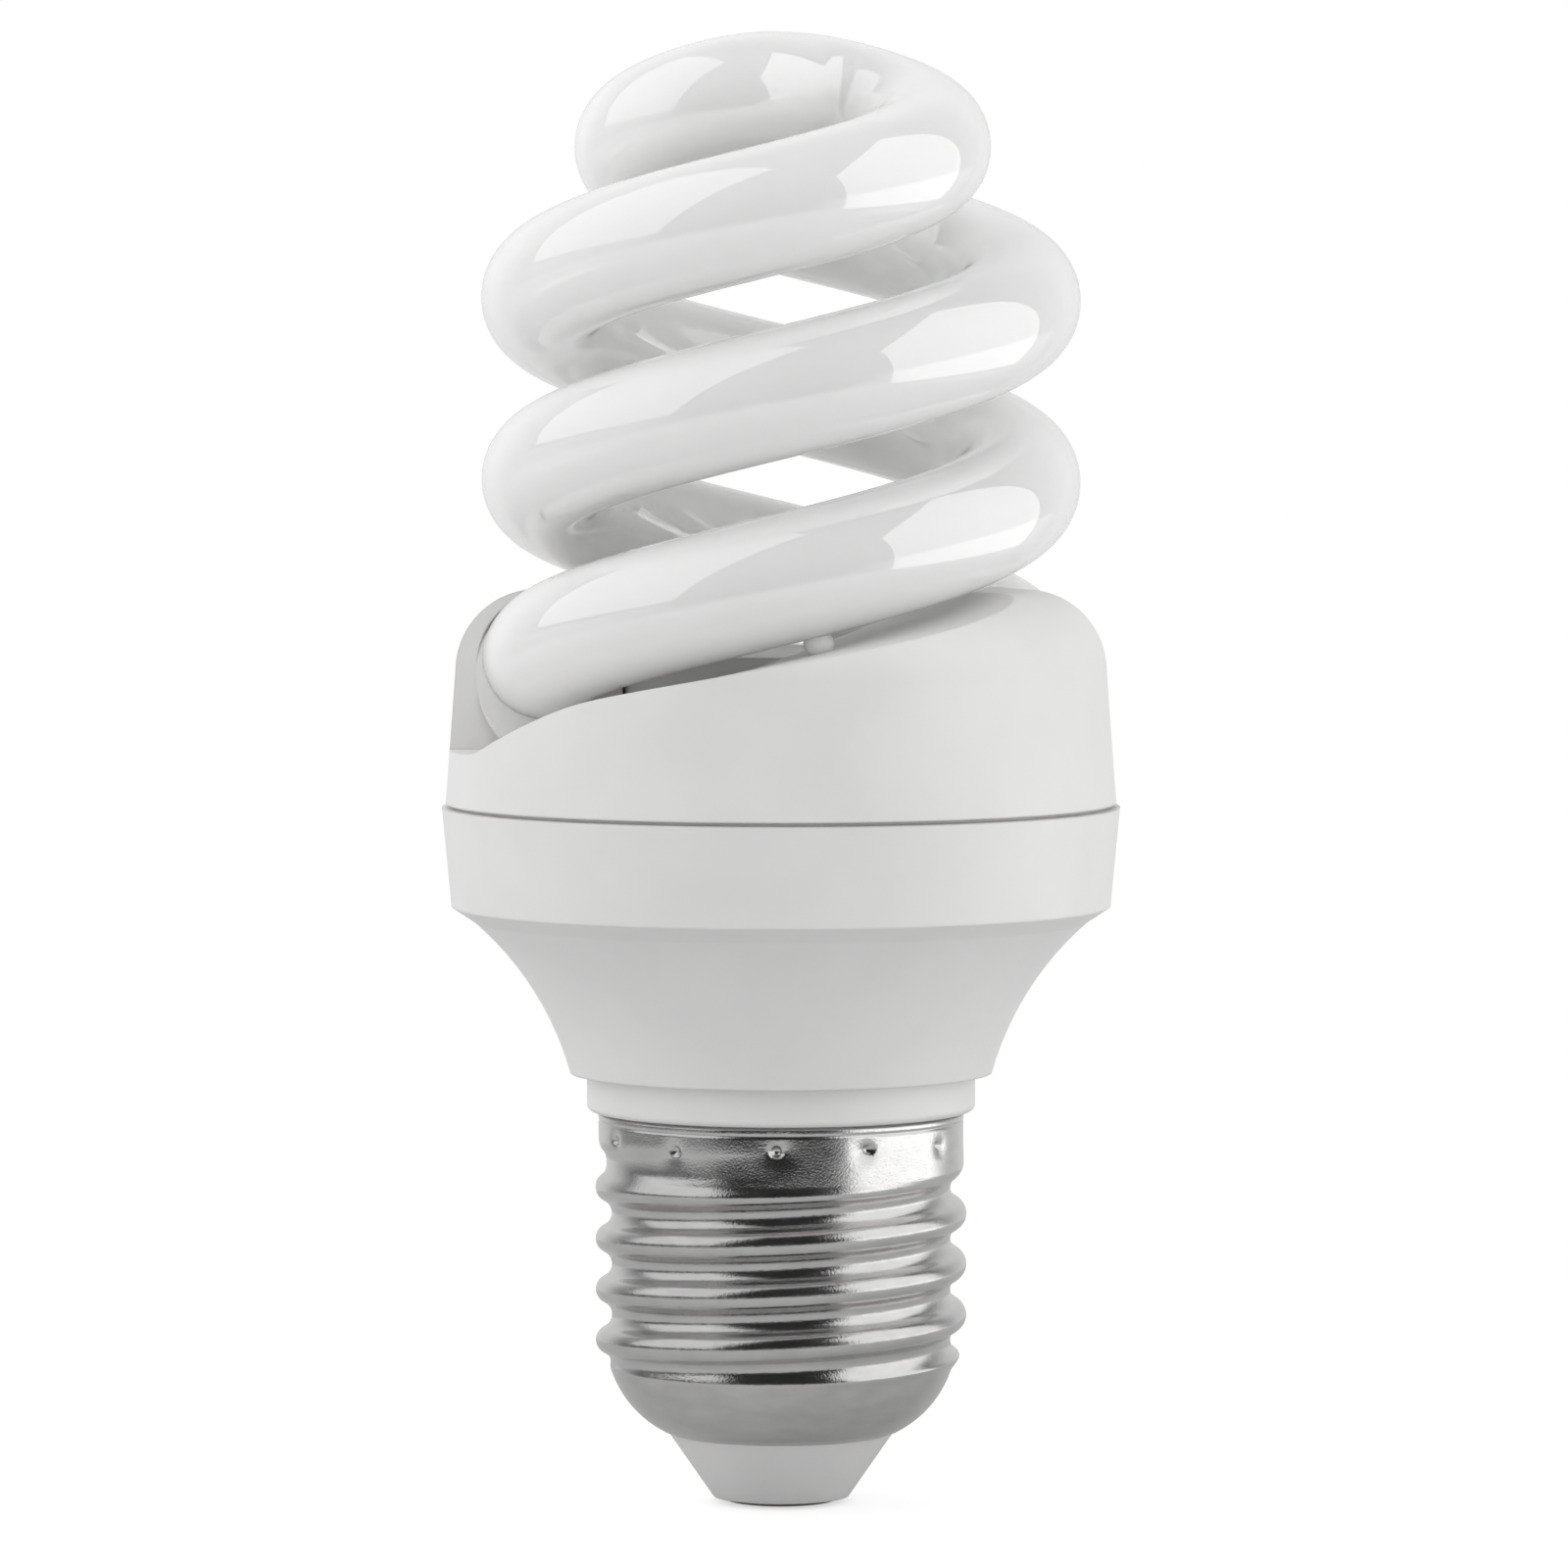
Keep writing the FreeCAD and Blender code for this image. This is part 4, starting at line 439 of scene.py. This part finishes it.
def studio_world():
    """White for the camera; for gloss dark in front, with a lit table low down; lit behind."""
    world = bpy.data.worlds.new("studio")
    world.use_nodes = True
    tree = world.node_tree
    background = tree.nodes["Background"]
    background.inputs["Color"].default_value = (1, 1, 1, 1)
    place = tree.nodes.new("ShaderNodeTexCoord")
    split = tree.nodes.new("ShaderNodeSeparateXYZ")
    path = tree.nodes.new("ShaderNodeLightPath")
    tree.links.new(place.outputs["Generated"], split.inputs["Vector"])

    def ramp(axis, start, end, low, high):
        """Runs from low to high while the direction's part along the axis goes start to end."""
        node = tree.nodes.new("ShaderNodeMapRange")
        node.inputs["From Min"].default_value = start
        node.inputs["From Max"].default_value = end
        node.inputs["To Min"].default_value = low
        node.inputs["To Max"].default_value = high
        tree.links.new(split.outputs[axis], node.inputs["Value"])
        return node.outputs["Result"]

    def choose(ray, other, one):
        """One for rays of this kind, a number or another output; the other for the rest."""
        node = tree.nodes.new("ShaderNodeMix")
        tree.links.new(path.outputs[ray], node.inputs["Factor"])
        tree.links.new(other, node.inputs["A"])
        if isinstance(one, float):
            node.inputs["B"].default_value = one
        else:
            tree.links.new(one, node.inputs["B"])
        return node.outputs["Result"]

    def join(operation, first, second):
        node = tree.nodes.new("ShaderNodeMath")
        node.operation = operation
        tree.links.new(first, node.inputs[0])
        tree.links.new(second, node.inputs[1])
        return node.outputs["Value"]

    # Light on matt surfaces: more from below, behind on the left and the front, less from the right
    height = ramp("Z", -1.0, 1.0, 0.8, 0.51)
    behind = join("MULTIPLY", ramp("Y", -0.2, 0.8, 0.0, 0.6), ramp("X", 0.0, 0.8, 1.0, 0.2))
    right = ramp("X", 0.0, 0.7, 0.0, -0.3)
    front = ramp("Y", -1.0, -0.4, 0.13, 0.0)
    matt = join("ADD", join("ADD", height, behind), join("ADD", right, front))

    # What gloss mirrors: a lit backdrop, the light floor, and a strip of table on either side
    backdrop = ramp("Y", 0.3, 0.8, 0.02, 0.75)
    sides = join("MAXIMUM", ramp("X", -0.4, -0.9, 0.0, 1.0), ramp("X", 0.4, 0.9, 0.0, 1.0))
    low_sides = join("MULTIPLY", sides, ramp("Z", -0.25, -0.5, 0.0, 1.1))
    low = join("MAXIMUM", ramp("Z", -0.16, -0.3, 0.02, 0.65), low_sides)
    table = join("MAXIMUM", ramp("X", -0.55, -0.8, 0.0, 0.35), ramp("X", 0.5, 0.8, 0.0, 0.8))
    table = join("MULTIPLY", table, ramp("Z", -0.01, -0.06, 0.0, 1.0))
    gloss = join("MAXIMUM", backdrop, join("MAXIMUM", low, table))

    strength = choose("Is Camera Ray", choose("Is Glossy Ray", matt, gloss), 1.0)
    tree.links.new(strength, background.inputs["Strength"])
    bpy.context.scene.world = world


# Floor, in metres

FLOOR_RADIUS = 0.15
FLOOR_CORNERS = 96
FLOOR_DROP = 0.0001
FLOOR_GREY = 0.6
FLOOR_GLOW = 0.6


def studio_floor():
    """Pale floor that the camera sees as white, apart from the lamp's shadow."""
    mesh = bpy.data.meshes.new("floor")
    around = [2 * math.pi * index / FLOOR_CORNERS for index in range(FLOOR_CORNERS)]
    corners = [
        (FLOOR_RADIUS * math.cos(angle), FLOOR_RADIUS * math.sin(angle), 0) for angle in around]
    mesh.from_pydata(corners, [], [tuple(range(FLOOR_CORNERS))])
    floor = bpy.data.objects.new("floor", mesh)
    floor.location.z = -FLOOR_DROP
    bpy.context.scene.collection.objects.link(floor)
    material, tree, shader = new_material("floor")
    shader.inputs["Base Color"].default_value = (FLOOR_GREY, FLOOR_GREY, FLOOR_GREY, 1)
    shader.inputs["Roughness"].default_value = 0.9
    shader.inputs["Specular IOR Level"].default_value = 0.0
    path = tree.nodes.new("ShaderNodeLightPath")
    glow = tree.nodes.new("ShaderNodeMath")
    glow.operation = "MULTIPLY"
    glow.inputs[1].default_value = FLOOR_GLOW
    shader.inputs["Emission Color"].default_value = (1, 1, 1, 1)
    tree.links.new(path.outputs["Is Camera Ray"], glow.inputs[0])
    tree.links.new(glow.outputs["Value"], shader.inputs["Emission Strength"])
    mesh.materials.append(material)


studio_world()
studio_floor()


# Camera at the photograph's place, in metres, tilted down by some degrees

CAMERA_PLACE = (0.00021, -0.6, 0.08567)
CAMERA_TILT = 3.3
CAMERA_LENS = 194.4
CAMERA_SENSOR = 36

camera_data = bpy.data.cameras.new("camera")
camera_data.sensor_width = CAMERA_SENSOR
camera_data.lens = CAMERA_LENS
camera_data.clip_start = 0.01
camera = bpy.data.objects.new("camera", camera_data)
camera.location = CAMERA_PLACE
camera.rotation_euler = (math.radians(90 - CAMERA_TILT), 0, 0)
bpy.context.scene.collection.objects.link(camera)
bpy.context.scene.camera = camera
bpy.context.scene.view_settings.view_transform = "Standard"
